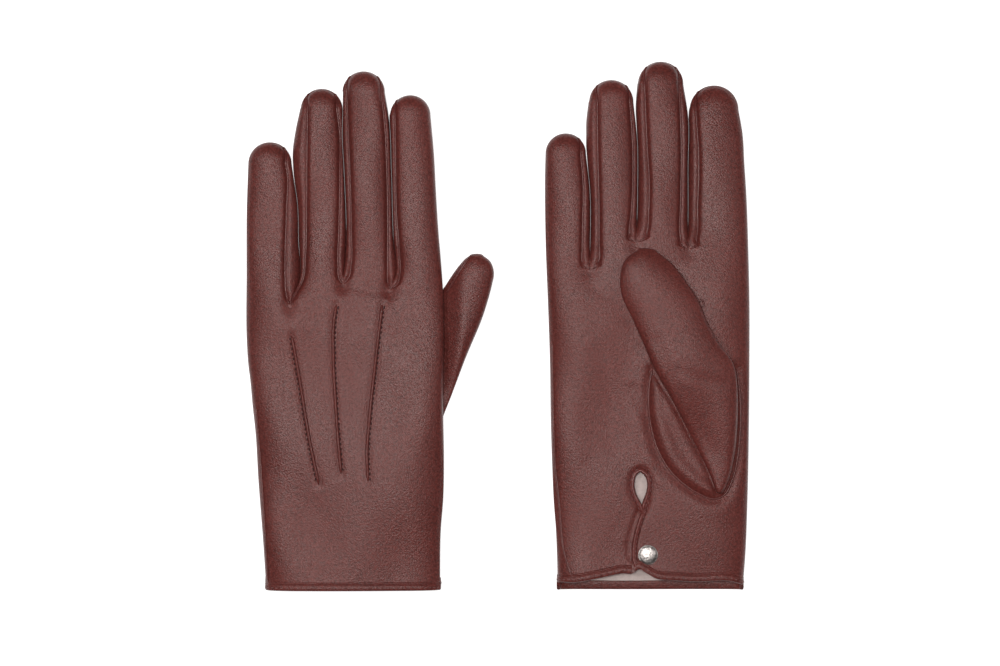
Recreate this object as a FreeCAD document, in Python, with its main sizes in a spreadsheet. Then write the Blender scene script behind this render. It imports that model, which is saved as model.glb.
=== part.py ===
import FreeCAD, Part
import math
import os

import Sketcher
from FreeCAD import Rotation, Vector

# A pair of gentlemen's leather dress gloves, laid flat on a table, in millimetres.
# The left glove lies palm down with its thumb out at the side. The right glove lies palm up
# with its thumb folded over the palm. +Z is up and +Y points to the fingertips.
# Every glove is drawn in its own frame, with x = 0 at its little-finger side and y = 0 at its
# hem, and is then placed beside the other. "Depth" is measured inward from the palm's face.

FINGERS = ("little", "ring", "middle", "index")
POINTS = ("index_point", "middle_point", "little_point")
# The two side edges of a finger, in the order that finger_edges gives them.
LITTLE_EDGE, INDEX_EDGE = 0, 1
# A difference too small to be a real size, and the shortest length of an edge of the hand's side.
FLAT = 1e-4
SHORTEST_SIDE = 20.0

SIZES = {
    # Thicknesses and clearances that both gloves share.
    "hand_thick": 12.0,
    "finger_thick": 11.0,
    "leather": 1.0,
    "lining_gap": 0.15,
    "lining": 0.9,
    "hand_round": 4.5,
    "finger_round": 4.5,
    "thumb_round": 3.3,
    "joint_gap": 0.4,
    "overrun": 5.0,
    "past_hand": 120.0,
    "stall_overrun": 0.1,
    # The turned hem around the wrist.
    "hem_width": 3.6,
    "hem_wall": 1.8,
    # The side strips between the fingers.
    "fourchette_low": 2.0,
    "fourchette_width": 3.5,
    "fourchette_past_tip": 2.0,
    # The three raised points on the back of the hand.
    "point_width": 1.2,
    "point_sunk": 0.5,
    "point_proud": 0.8,
    # The thumb hole in the palm and the mound that fills it, in the right glove's frame.
    "hole_first_x": 50.6,
    "hole_first_y": 104.8,
    "hole_second_x": 81.4,
    "hole_second_y": 116.6,
    "hole_index_x": 91.0,
    "hole_index_y": 80.0,
    "hole_heel_x": 80.0,
    "hole_heel_y": 43.2,
    "hole_little_x": 54.0,
    "hole_little_y": 64.0,
    "hole_depth": 2.2,
    "mound_high": 4.0,
    # The bound keyhole at the head of the palm vent.
    "keyhole_x": 44.8,
    "keyhole_y": 52.6,
    "keyhole_radius": 3.4,
    "keyhole_point_x": 45.2,
    "keyhole_point_y": 38.5,
    "binding_radius": 5.2,
    "binding_point_y": 35.5,
    # The flap that closes the vent, hinged where it grows out of the palm.
    "flap_thick": 1.6,
    "flap_head_x": 46.5,
    "flap_head_y": 34.6,
    "flap_bow_x": 42.7,
    "flap_bow_y": 25.0,
    "flap_waist_x": 41.8,
    "flap_waist_y": 14.0,
    "flap_turn_x": 42.2,
    "flap_turn_y": 6.0,
    "flap_hem_x": 44.5,
    "flap_hem_y": 0.2,
    "flap_hinge_top_x": 50.2,
    "flap_hinge_top_y": 36.7,
    "flap_hinge_hem_x": 70.0,
    "flap_edge_width": 1.3,
    # The leather tongue under the flap, which carries the lower half of the snap.
    "tongue_little_x": 34.0,
    "tongue_index_x": 56.0,
    "tongue_low_y": 4.0,
    "tongue_high_y": 34.0,
    "tongue_riser": 2.5,
    "tongue_top": 3.4,
    "tongue_bottom": 4.3,
    # The room that the lining leaves for the vent.
    "vent_little_x": 33.5,
    "vent_index_x": 73.0,
    "vent_high_y": 42.0,
    "vent_depth": 5.0,
    # The snap, as depths and radii from its own axis.
    "snap_x": 48.6,
    "snap_y": 16.9,
    "cap_radius": 4.8,
    "cap_crown_radius": 0.6,
    "cap_dome_radius": 2.8,
    "cap_dome_depth": 0.17,
    "cap_rim_depth": 0.6,
    "cap_depth": 0.9,
    "cap_clearance": 0.1,
    "shank_radius": 1.2,
    "socket_radius": 4.2,
    "socket_shoulder_radius": 3.4,
    "socket_shoulder_depth": 2.3,
    "socket_depth": 2.9,
    "socket_bore_radius": 2.0,
    "socket_roof_depth": 1.9,
    "ball_top_depth": 2.1,
    "ball_crown_radius": 1.1,
    "ball_radius": 1.5,
    "ball_waist_depth": 2.5,
    "ball_neck_depth": 2.9,
    "flange_radius": 4.0,
    "flange_depth": 3.1,
    "eyelet_radius": 3.5,
    "eyelet_depth": 4.8,
    # Where the gloves lie: the left one's frame, the right one's frame, and their hems.
    "left_place_x": -119.7,
    "right_place_x": 22.2,
    "place_y": -125.2,
    # How far the palm's own features sit to the side of their place on the right glove.
    "left_palm_shift": -3.0,
    "right_palm_shift": 0.0,
}

# The hand's sides. The index side is one arc from the hem, through a side point, to the finger.
# The little-finger side is an arc from the hem, through a side point, to a bend, then straight.
HAND = {
    "left": {"little_hem_x": 9.9, "little_side_x": 5.6, "little_side_y": 58.0,
             "little_bend_x": 0.7, "little_bend_y": 112.0,
             "index_hem_x": 92.2, "index_side_x": 94.1, "index_side_y": 66.5},
    "right": {"little_hem_x": 6.1, "little_side_x": 3.4, "little_side_y": 62.0,
              "little_bend_x": 1.4, "little_bend_y": 130.0,
              "index_hem_x": 93.7, "index_side_x": 96.9, "index_side_y": 70.0},
}

# Each finger: its two base corners, the height of its hinge line, and the circle of its tip.
STALLS = {
    "left": {
        "little": {"low_x": 0.2, "high_x": 24.6, "hinge_y": 156.0,
                   "tip_x": 11.6, "tip_y": 201.8, "tip_radius": 10.2},
        "ring": {"low_x": 25.1, "high_x": 47.5, "hinge_y": 168.0,
                 "tip_x": 36.1, "tip_y": 227.6, "tip_radius": 9.6},
        "middle": {"low_x": 47.9, "high_x": 70.0, "hinge_y": 169.0,
                   "tip_x": 56.0, "tip_y": 235.6, "tip_radius": 10.1},
        "index": {"low_x": 70.4, "high_x": 91.8, "hinge_y": 166.0,
                  "tip_x": 78.3, "tip_y": 224.8, "tip_radius": 9.6},
    },
    "right": {
        "little": {"low_x": 0.4, "high_x": 21.2, "hinge_y": 160.0,
                   "tip_x": 9.9, "tip_y": 206.7, "tip_radius": 9.3},
        "ring": {"low_x": 21.7, "high_x": 43.7, "hinge_y": 172.0,
                 "tip_x": 31.5, "tip_y": 231.1, "tip_radius": 9.9},
        "middle": {"low_x": 44.2, "high_x": 67.9, "hinge_y": 173.0,
                   "tip_x": 54.9, "tip_y": 239.5, "tip_radius": 10.8},
        "index": {"low_x": 68.3, "high_x": 96.0, "hinge_y": 170.0,
                  "tip_x": 80.2, "tip_y": 227.4, "tip_radius": 11.6},
    },
}

# Each thumb: the two ends of its base, how far each moves in along the base for each
# millimetre of wall, the circle of its tip, the direction across the thumb, and its thickness.
THUMBS = {
    "left": {"first_x": 94.6, "first_y": 143.0, "first_inset_x": 0.0, "first_inset_y": -1.9,
             "second_x": 94.6, "second_y": 83.0, "second_inset_x": 0.0, "second_inset_y": 3.2,
             "tip_x": 109.4, "tip_y": 151.3, "tip_radius": 7.9,
             "across_x": 0.93, "across_y": -0.37, "thick": 8.8},
    "right": {"first_x": 50.4, "first_y": 105.2, "first_inset_x": 0.93, "first_inset_y": 0.36,
              "second_x": 81.2, "second_y": 117.0,
              "second_inset_x": -0.93, "second_inset_y": -0.36,
              "tip_x": 49.5, "tip_y": 147.6, "tip_radius": 13.6,
              "across_x": 0.94, "across_y": 0.33, "thick": 8.8},
}

# The ends of the raised points on the back, in the left glove's frame.
POINT_ENDS = {
    "little_point": {"finger_x": 22.4, "finger_y": 120.4, "wrist_x": 35.2, "wrist_y": 49.9},
    "middle_point": {"finger_x": 42.6, "finger_y": 135.0, "wrist_x": 45.3, "wrist_y": 55.0},
    "index_point": {"finger_x": 65.1, "finger_y": 135.0, "wrist_x": 58.2, "wrist_y": 51.5},
}
POINT_SHIFT = {"left": 0.0, "right": 2.0}


def add_group(group, *words):
    """Put a nested table of sizes into the one flat list, each named by the words on its way."""
    for word, value in group.items():
        if isinstance(value, dict):
            add_group(value, *words, word)
        else:
            SIZES["_".join((*words, word))] = value


add_group(HAND, "hand")
add_group(STALLS)
add_group(THUMBS, "thumb")
add_group(POINT_ENDS)
add_group(POINT_SHIFT, "point_shift")


class Length:
    """A size in millimetres, together with the expression that works it out from the sheet."""

    def __init__(self, value, text):
        self.value = value
        self.text = text

    def __add__(self, other):
        return Length(self.value + number(other), f"({self.text} + {wording(other)})")

    def __sub__(self, other):
        return Length(self.value - number(other), f"({self.text} - {wording(other)})")

    def __mul__(self, other):
        return Length(self.value * number(other), f"({self.text} * {wording(other)})")

    def __neg__(self):
        return Length(-self.value, f"(0 - {self.text})")


def number(item):
    return item.value if isinstance(item, Length) else item


def wording(item):
    return item.text if isinstance(item, Length) else f"({item})"


def size(*words):
    alias = "_".join(words)
    return Length(SIZES[alias], "Sizes." + alias)


ZERO = Length(0.0, "0")
THICK = size("hand_thick")
LEATHER = size("leather")
LINING_OUTSIDE = LEATHER + size("lining_gap")
LINING_INSIDE = LINING_OUTSIDE + size("lining")
OVERRUN = size("overrun")
GAP = size("joint_gap")

doc = FreeCAD.newDocument("LeatherGloves")
nodes = []


def fill_sheet():
    sheet = doc.addObject("Spreadsheet::Sheet", "Sizes")
    for row, (alias, value) in enumerate(SIZES.items(), start=1):
        sheet.set(f"A{row}", alias)
        sheet.set(f"B{row}", str(value))
        sheet.setAlias(f"B{row}", alias)
    doc.recompute()


def bind(item, field, length):
    item.setExpression(field, length.text)


def place(item, side, x, y, z):
    """Put an object at x, y, z of one glove's own frame."""
    bind(item, "Placement.Base.x", size(side, "place_x") + x)
    bind(item, "Placement.Base.y", size("place_y") + y)
    bind(item, "Placement.Base.z", z)


def finish(item, name):
    """Name a finished sub-part: its Label is the name of its node."""
    item.Label = name
    nodes.append(item)
    return item


# Sketches -------------------------------------------------------------------------------------

class Corner:
    """A corner of an outline. The edge that leaves it is an arc where it has a point to pass."""

    def __init__(self, x, y, passing=None):
        self.x = x
        self.y = y
        self.passing = passing


def spot(x, y):
    return Vector(x.value, y.value, 0)


def end_of(sketch, edge, point):
    """Which end of a sketch edge lies at the point: 1 is its start and 2 its end."""
    start = sketch.Geometry[edge].StartPoint
    finish_point = sketch.Geometry[edge].EndPoint
    return 1 if start.distanceToPoint(point) < finish_point.distanceToPoint(point) else 2


def fix_point(sketch, edge, end, x, y):
    """Hold one point of a sketch at x, y, both worked out by the sheet."""
    for kind, length in (("DistanceX", x), ("DistanceY", y)):
        held = sketch.addConstraint(Sketcher.Constraint(kind, -1, 1, edge, end, length.value))
        bind(sketch, f"Constraints[{held}]", length)


def draw_corners(sketch, corners):
    """A closed outline of straight edges, and of arcs that pass through a given point."""
    following = corners[1:] + corners[:1]
    for corner, after in zip(corners, following):
        start, stop = spot(corner.x, corner.y), spot(after.x, after.y)
        if corner.passing:
            middle = spot(*corner.passing)
            if (middle - start).cross(stop - start).z < 0:
                start, stop = stop, start
            sketch.addGeometry(Part.Arc(start, middle, stop), False)
        else:
            sketch.addGeometry(Part.LineSegment(start, stop), False)
    for edge, (corner, after) in enumerate(zip(corners, following)):
        meeting = spot(after.x, after.y)
        next_edge = (edge + 1) % len(corners)
        own_end, next_end = end_of(sketch, edge, meeting), end_of(sketch, next_edge, meeting)
        sketch.addConstraint(Sketcher.Constraint("Coincident", edge, own_end, next_edge, next_end))
        fix_point(sketch, edge, end_of(sketch, edge, spot(corner.x, corner.y)), corner.x, corner.y)
        if corner.passing:
            mark = sketch.addGeometry(Part.Point(spot(*corner.passing)), True)
            sketch.addConstraint(Sketcher.Constraint("PointOnObject", mark, 1, edge))
            fix_point(sketch, mark, 1, *corner.passing)


def draw_stall(sketch, base, centre, radius):
    """A finger's outline: straight sides from the base point or points, tangent to a round tip.

    The base points are listed so that the outline runs counterclockwise: base, side, tip, side.
    """
    middle = spot(*centre)
    foot = (spot(*base[0]) + spot(*base[-1])) * 0.5
    ahead = (middle - foot).normalize()
    right = Vector(ahead.y, -ahead.x, 0) * radius.value
    turn = right.getAngle(Vector(1, 0, 0)) * (1 if right.y >= 0 else -1)
    tip_circle = Part.Circle(middle, Vector(0, 0, 1), radius.value)
    tip = sketch.addGeometry(Part.ArcOfCircle(tip_circle, turn, turn + math.pi), False)
    side_out = sketch.addGeometry(Part.LineSegment(spot(*base[-1]), middle + right), False)
    side_back = sketch.addGeometry(Part.LineSegment(middle - right, spot(*base[0])), False)
    sketch.addConstraint(Sketcher.Constraint("Tangent", side_out, 2, tip, 1))
    sketch.addConstraint(Sketcher.Constraint("Tangent", tip, 2, side_back, 1))
    fix_point(sketch, tip, 3, *centre)
    held = sketch.addConstraint(Sketcher.Constraint("Radius", tip, radius.value))
    bind(sketch, f"Constraints[{held}]", radius)
    fix_point(sketch, side_out, 1, *base[-1])
    if len(base) == 1:
        sketch.addConstraint(Sketcher.Constraint("Coincident", side_back, 2, side_out, 1))
        return
    foot_edge = sketch.addGeometry(Part.LineSegment(spot(*base[0]), spot(*base[1])), False)
    sketch.addConstraint(Sketcher.Constraint("Coincident", side_back, 2, foot_edge, 1))
    sketch.addConstraint(Sketcher.Constraint("Coincident", foot_edge, 2, side_out, 1))
    fix_point(sketch, foot_edge, 1, *base[0])


# Solids ---------------------------------------------------------------------------------------

def new_sketch(body, role):
    plane = [item for item in body.Origin.OriginFeatures if item.Role == role][0]
    sketch = body.newObject("Sketcher::SketchObject", body.Name + "_outline")
    sketch.AttachmentSupport = (plane, [""])
    sketch.MapMode = "FlatFace"
    return sketch


def slab(name, side, low, high, draw, *outline):
    """A flat piece with the drawn outline, between two heights of one glove."""
    body = doc.addObject("PartDesign::Body", name)
    sketch = new_sketch(body, "XY_Plane")
    draw(sketch, *outline)
    pad = body.newObject("PartDesign::Pad", name + "_pad")
    pad.Profile = sketch
    bind(pad, "Length", high - low)
    place(body, side, ZERO, ZERO, low)
    doc.recompute()
    return body


def round_off(body, radius, chosen):
    """Round those edges of a slab's two faces that the test picks."""
    pad = body.Tip
    edges = pad.Shape.Edges
    flat = [place_in_list for place_in_list, edge in enumerate(edges, start=1)
            if edge.BoundBox.ZLength < FLAT and chosen(edge)]
    fillet = body.newObject("PartDesign::Fillet", body.Name + "_round")
    fillet.Base = (pad, [f"Edge{place_in_list}" for place_in_list in flat])
    bind(fillet, "Radius", radius)
    return body


def is_side(edge):
    """True for the long edges along the hand, and false for the hem and the fingers' steps."""
    return edge.BoundBox.YLength > SHORTEST_SIDE


def away_from(first, second):
    """A test that is true for the edges that don't lie on the line between two points."""
    start = spot(*first)
    along = (spot(*second) - start).normalize()

    def chosen(edge):
        offsets = [(vertex.Point - start).cross(along).z for vertex in edge.Vertexes]
        return max(abs(offset) for offset in offsets) > FLAT

    return chosen


def box(name, side, x_range, y_range, z_range):
    solid = doc.addObject("Part::Box", name)
    for field, (low, high) in zip(("Length", "Width", "Height"), (x_range, y_range, z_range)):
        bind(solid, field, high - low)
    place(solid, side, x_range[0], y_range[0], z_range[0])
    return solid


def fused(name, solids):
    if len(solids) == 1:
        return solids[0]
    union = doc.addObject("Part::MultiFuse", name)
    union.Shapes = solids
    return union


def cut(name, base, *tools):
    result = doc.addObject("Part::Cut", name)
    result.Base = base
    result.Tool = fused(name + "_tools", list(tools))
    return result


def common(name, base, tool):
    result = doc.addObject("Part::Common", name)
    result.Base = base
    result.Tool = tool
    return result


def turned(name, side, corners):
    """A round piece of the snap: its profile, in radius and height, turned about the snap's axis.

    Its own frame has z = 0 at the palm's face and z pointing out of the palm.
    """
    body = doc.addObject("PartDesign::Body", name)
    sketch = new_sketch(body, "XZ_Plane")
    draw_corners(sketch, corners)
    turning = body.newObject("PartDesign::Revolution", name + "_turning")
    turning.Profile = sketch
    turning.ReferenceAxis = (sketch, ["V_Axis"])
    if side == "left":
        body.Placement.Rotation = Rotation(Vector(1, 0, 0), 180)
    place(body, side, palm_x(side, "snap_x"), size("snap_y"), palm_face(side))
    return body


# Where things are ------------------------------------------------------------------------------

def palm_face(side):
    """The height of the palm's outer face: the top of the right glove, the left one's bottom."""
    return THICK if side == "right" else ZERO


def depths(side, shallow, deep):
    """The low and high ends of a stretch that is given as depths below the palm's face."""
    if side == "right":
        return THICK - deep, THICK - shallow
    return shallow, deep


def palm_x(side, word):
    return size(word) + size(side, "palm_shift")


def palm_corner(side, word, passing=None):
    passed = passing and (palm_x(side, passing + "_x"), size(passing + "_y"))
    return Corner(palm_x(side, word + "_x"), size(word + "_y"), passed)


# The hand ---------------------------------------------------------------------------------------

def hand_corners(side, inset, overrun):
    """The hand's outline: hem, index side, one step for each finger, and little-finger side."""
    stall = {finger: {word: size(side, finger, word) for word in ("low_x", "high_x", "hinge_y")}
             for finger in FINGERS}
    edge = {word: size("hand", side, word) for word in HAND[side]}
    top = {finger: stall[finger]["hinge_y"] - GAP + overrun for finger in FINGERS}
    index_side = (edge["index_side_x"] - inset, edge["index_side_y"])
    little_side = (edge["little_side_x"] + inset, edge["little_side_y"])
    corners = [Corner(edge["little_hem_x"] + inset, -overrun),
               Corner(edge["index_hem_x"] - inset, -overrun, index_side),
               Corner(stall["index"]["high_x"] - inset, top["index"])]
    for lower, upper in reversed(list(zip(FINGERS, FINGERS[1:]))):
        if top[upper].value > top[lower].value:
            step = stall[upper]["low_x"] + inset
        else:
            step = stall[lower]["high_x"] - inset
        corners.append(Corner(step, top[upper]))
        corners.append(Corner(step, top[lower]))
    corners.append(Corner(stall["little"]["low_x"] + inset, top["little"]))
    corners.append(Corner(edge["little_bend_x"] + inset, edge["little_bend_y"], little_side))
    return corners


def hand_solid(name, side, inset, overrun):
    body = slab(name, side, inset, THICK - inset, draw_corners,
                hand_corners(side, inset, overrun))
    return round_off(body, size("hand_round") - inset, is_side)


def thumb_hole_corners(side, inset, overrun):
    """The long oval of the thumb seam: a straight top where the thumb starts, and two arcs."""
    first, second = palm_corner(side, "hole_first"), palm_corner(side, "hole_second")
    heel, index, little = (palm_corner(side, "hole_" + word) for word in ("heel", "index", "little"))
    return [Corner(first.x + inset, first.y + overrun),
            Corner(second.x - inset, second.y + overrun, (index.x - inset, index.y)),
            Corner(heel.x, heel.y + inset, (little.x + inset, little.y))]


def thumb_base(side):
    """The leather that fills the thumb hole: flush on the left palm, a mound on the right."""
    name = side + "_thumb_base"
    low, high = depths(side, ZERO, LEATHER)
    if side == "left":
        return finish(slab(name, side, low, high, draw_corners,
                           thumb_hole_corners(side, ZERO, ZERO)), name)
    crown = high + size("mound_high")
    mound = slab("mound_outside", side, low, crown, draw_corners,
                 thumb_hole_corners(side, ZERO, ZERO))
    hollow = slab("mound_inside", side, low - LEATHER, crown - LEATHER, draw_corners,
                  thumb_hole_corners(side, LEATHER, OVERRUN))
    return finish(cut(name, mound, hollow), name)


def flap_corners(side, edge_inset, grow):
    """The flap: a bowed free edge, the hem, and a straight hinge line.

    The free edge alone moves in by edge_inset, and the whole flap grows by grow.
    """
    free = edge_inset - grow
    head, bow, waist = (palm_corner(side, "flap_" + word) for word in ("head", "bow", "waist"))
    turn, hem = palm_corner(side, "flap_turn"), palm_corner(side, "flap_hem")
    hinge_top = palm_corner(side, "flap_hinge_top")
    hinge_hem_x = palm_x(side, "flap_hinge_hem_x")
    return [Corner(hem.x + free, hem.y - grow),
            Corner(hinge_hem_x + grow, hem.y - grow),
            Corner(hinge_top.x + grow, hinge_top.y + grow),
            Corner(head.x + free, head.y + grow, (bow.x + free, bow.y)),
            Corner(waist.x + free, waist.y, (turn.x + free, turn.y))]


def vent_cutter(side, name):
    """The room that the flap needs in the palm and in its hem."""
    low, high = depths(side, -GAP, size("hem_wall") + GAP)
    return slab(name, side, low, high, draw_corners, flap_corners(side, ZERO, GAP))


def keyhole_slab(name, side, shallow, deep, radius, point_y):
    low, high = depths(side, shallow, deep)
    centre = (palm_x(side, "keyhole_x"), size("keyhole_y"))
    point = (palm_x(side, "keyhole_point_x"), point_y)
    return slab(name, side, low, high, draw_stall, [point], centre, radius)


def point_bars(side):
    """The three raised points, which stand in slots of the leather on the back of the hand."""
    bars = {}
    half = size("point_width") * 0.5
    shift = size("point_shift", side)
    for point in POINTS:
        finger_x, wrist_x = size(point, "finger_x") + shift, size(point, "wrist_x") + shift
        finger_y, wrist_y = size(point, "finger_y"), size(point, "wrist_y")
        corners = [Corner(wrist_x - half, wrist_y), Corner(wrist_x + half, wrist_y),
                   Corner(finger_x + half, finger_y), Corner(finger_x - half, finger_y)]
        low, high = ZERO, size("point_sunk")
        if side == "left":
            low, high = THICK - size("point_sunk"), THICK + size("point_proud")
        bars[point] = slab(f"{side}_{point}_bar", side, low, high, draw_corners, corners)
    return bars


def hem_box(name, side):
    return box(name, side, (-OVERRUN, size("past_hand")), (-OVERRUN, size("hem_width")),
               (-OVERRUN, THICK + OVERRUN))


def hand(side):
    """The leather of the palm and back, its hem, its lining, and what is sewn into them."""
    outside = hand_solid(side + "_hand_outside", side, ZERO, ZERO)
    inside = hand_solid(side + "_hand_inside", side, LEATHER, OVERRUN)
    hem = hem_box(side + "_hem_box", side)
    vent = vent_cutter(side, side + "_vent")
    low, high = depths(side, -GAP, size("hole_depth"))
    hole = slab(side + "_thumb_hole", side, low, high, draw_corners,
                thumb_hole_corners(side, ZERO, ZERO))
    slot = keyhole_slab(side + "_keyhole_slot", side, -GAP, LEATHER, size("binding_radius"),
                        size("binding_point_y"))
    bars = point_bars(side)
    trank_name = side + "_trank_hand"
    finish(cut(trank_name, outside, inside, hem, vent, hole, slot, *bars.values()), trank_name)
    for point, bar in bars.items():
        finish(bar, f"{side}_{point}")

    hem_name = side + "_cuff_hem"
    hem_inside = hand_solid(side + "_hem_inside", side, size("hem_wall"), OVERRUN)
    hem_outside = common(side + "_hem_outside", outside, hem)
    finish(cut(hem_name, hem_outside, hem_inside, vent), hem_name)

    lining_name = side + "_hand_lining"
    lining_outside = hand_solid(side + "_lining_outside", side, LINING_OUTSIDE, ZERO)
    lining_inside = hand_solid(side + "_lining_inside", side, LINING_INSIDE, OVERRUN)
    room = box(side + "_vent_room", side,
               (palm_x(side, "vent_little_x"), palm_x(side, "vent_index_x")),
               (-OVERRUN, size("vent_high_y")), depths(side, ZERO, size("vent_depth")))
    finish(cut(lining_name, lining_outside, lining_inside, hem, hole, room), lining_name)
    thumb_base(side)

    binding_name = side + "_keyhole_binding"
    rim = keyhole_slab(side + "_binding_outside", side, ZERO, LEATHER, size("binding_radius"),
                       size("binding_point_y"))
    opening = keyhole_slab(side + "_binding_inside", side, -GAP, LEATHER + GAP,
                           size("keyhole_radius"), size("keyhole_point_y"))
    finish(cut(binding_name, rim, opening), binding_name)


# The vent's flap and its snap -----------------------------------------------------------------

def flap(side):
    low, high = depths(side, ZERO, size("flap_thick"))
    whole = slab(side + "_flap_whole", side, low, high, draw_corners,
                 flap_corners(side, ZERO, ZERO))
    field = slab(side + "_flap_field", side, low, high, draw_corners,
                 flap_corners(side, size("flap_edge_width"), ZERO))
    edge_name = side + "_flap_binding"
    finish(cut(edge_name, whole, field), edge_name)
    seat = turned(side + "_cap_seat", side, [
        Corner(ZERO, GAP),
        Corner(ZERO, -(size("flap_thick") + GAP)),
        Corner(size("shank_radius"), -(size("flap_thick") + GAP)),
        Corner(size("shank_radius"), -size("cap_depth")),
        Corner(size("cap_radius") + size("cap_clearance"), -size("cap_depth")),
        Corner(size("cap_radius") + size("cap_clearance"), GAP)])
    flap_name = side + "_vent_flap"
    finish(cut(flap_name, field, seat), flap_name)


def tongue(side):
    """The end of the palm that passes under the flap, joined to it by a riser."""
    top, bottom = size("tongue_top"), size("tongue_bottom")
    little, index = palm_x(side, "tongue_little_x"), palm_x(side, "tongue_index_x")
    rows = (size("tongue_low_y"), size("tongue_high_y"))
    riser_end = little + size("tongue_riser")
    riser = box(side + "_tongue_riser", side, (little, riser_end), rows,
                depths(side, LEATHER, bottom))
    sheet = box(side + "_tongue_sheet", side, (riser_end, index), rows, depths(side, top, bottom))
    shank = turned(side + "_tongue_hole", side, [
        Corner(ZERO, -top + GAP), Corner(ZERO, -bottom - GAP),
        Corner(size("shank_radius"), -bottom - GAP), Corner(size("shank_radius"), -top + GAP)])
    name = side + "_underflap"
    finish(cut(name, fused(side + "_tongue_whole", [riser, sheet]), shank), name)


def snap(side):
    """The snap's three pieces: the domed cap with its post, the socket and the stud."""
    post, flap_depth = size("shank_radius"), size("flap_thick")
    cap = size("cap_radius")
    finish(turned(side + "_snap_cap", side, [
        Corner(ZERO, -flap_depth),
        Corner(post, -flap_depth),
        Corner(post, -size("cap_depth")),
        Corner(cap, -size("cap_depth")),
        Corner(cap, -size("cap_rim_depth"), (size("cap_dome_radius"), -size("cap_dome_depth"))),
        Corner(size("cap_crown_radius"), ZERO),
        Corner(ZERO, ZERO)]), side + "_snap_cap")
    socket, bore = size("socket_radius"), size("socket_bore_radius")
    finish(turned(side + "_snap_socket", side, [
        Corner(ZERO, -size("socket_roof_depth")),
        Corner(bore, -size("socket_roof_depth")),
        Corner(bore, -size("socket_depth")),
        Corner(size("socket_shoulder_radius"), -size("socket_depth")),
        Corner(socket, -size("socket_shoulder_depth")),
        Corner(socket, -flap_depth),
        Corner(ZERO, -flap_depth)]), side + "_snap_socket")
    flange, eyelet = size("flange_radius"), size("eyelet_radius")
    ball_edge = (size("ball_radius"), -size("ball_waist_depth"))
    finish(turned(side + "_snap_stud", side, [
        Corner(ZERO, -size("eyelet_depth")),
        Corner(eyelet, -size("eyelet_depth")),
        Corner(eyelet, -size("tongue_bottom")),
        Corner(post, -size("tongue_bottom")),
        Corner(post, -size("tongue_top")),
        Corner(flange, -size("tongue_top")),
        Corner(flange, -size("flange_depth")),
        Corner(post, -size("flange_depth")),
        Corner(post, -size("ball_neck_depth"), ball_edge),
        Corner(size("ball_crown_radius"), -size("ball_top_depth")),
        Corner(ZERO, -size("ball_top_depth"))]), side + "_snap_stud")


# Fingers and thumb ----------------------------------------------------------------------------

def finger_edges(side, own):
    """The lower and upper ends of a finger's two side edges, the little-finger side first."""
    row, tip_row = size(side, own, "hinge_y"), size(side, own, "tip_y")
    reach = size(side, own, "tip_radius")
    return (((size(side, own, "low_x"), row), (size(side, own, "tip_x") - reach, tip_row)),
            ((size(side, own, "high_x"), row), (size(side, own, "tip_x") + reach, tip_row)))


def lengthened(base, tip, share):
    """A side edge's base end, moved back along the edge by a share of the edge's length."""
    return base[0] + (base[0] - tip[0]) * share, base[1] + (base[1] - tip[1]) * share


def finger_solid(name, side, own, inset, share):
    low, high = (lengthened(*edge, share) for edge in finger_edges(side, own))
    base = [(low[0] + inset, low[1]), (high[0] - inset, high[1])]
    centre = (size(side, own, "tip_x"), size(side, own, "tip_y"))
    body = slab(name, side, inset, size("finger_thick") - inset, draw_stall, base, centre,
                size(side, own, "tip_radius") - inset)
    return round_off(body, size("finger_round") - inset, away_from(*base))


def side_strip(name, side, own, edge):
    """The room of one side strip: a band along a side edge of the finger, at mid height."""
    base, tip = finger_edges(side, own)[edge]
    into = size("fourchette_width") * (1 if edge == LITTLE_EDGE else -1)
    out = LEATHER * (-1 if edge == LITTLE_EDGE else 1)
    end_row = tip[1] + size("fourchette_past_tip")
    corners = [Corner(base[0] + out, base[1]), Corner(base[0] + into, base[1]),
               Corner(tip[0] + into, end_row), Corner(tip[0] + out, end_row)]
    low = size("fourchette_low")
    return slab(name, side, low, size("finger_thick") - low, draw_corners, corners)


def finger(side, own, neighbours):
    """One finger: front and back leather, its side strips, and its lining."""
    name = f"{side}_{own}"
    whole = finger_solid(name + "_outside", side, own, ZERO, ZERO)
    hollow = finger_solid(name + "_inside", side, own, LEATHER, size("stall_overrun"))
    shell = cut(name + "_shell", whole, hollow)
    strips = []
    for neighbour, edge in neighbours:
        strip_name = f"{name}_fourchette_{neighbour}_side"
        strips.append(side_strip(strip_name + "_room", side, own, edge))
        finish(common(strip_name, shell, strips[-1]), strip_name)
    leather_name = name + "_leather"
    finish(cut(leather_name, shell, *strips), leather_name)
    lining_name = name + "_lining"
    lining_outside = finger_solid(lining_name + "_outside", side, own, LINING_OUTSIDE, ZERO)
    lining_inside = finger_solid(lining_name + "_inside", side, own, LINING_INSIDE,
                                 size("stall_overrun"))
    finish(cut(lining_name, lining_outside, lining_inside), lining_name)


def thumb_solid(name, side, inset, share):
    def word(text):
        return size("thumb", side, text)

    base = []
    for end, way in (("first", -1), ("second", 1)):
        own = (word(end + "_x"), word(end + "_y"))
        tip = (word("tip_x") + word("tip_radius") * word("across_x") * way,
               word("tip_y") + word("tip_radius") * word("across_y") * way)
        back_x, back_y = lengthened(own, tip, share)
        base.append((back_x + inset * word(end + "_inset_x"), back_y + inset * word(end + "_inset_y")))
    low = THICK + GAP if side == "right" else ZERO
    body = slab(name, side, low + inset, low + word("thick") - inset, draw_stall, base,
                (word("tip_x"), word("tip_y")), word("tip_radius") - inset)
    return round_off(body, size("thumb_round") - inset, away_from(*base))


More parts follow.
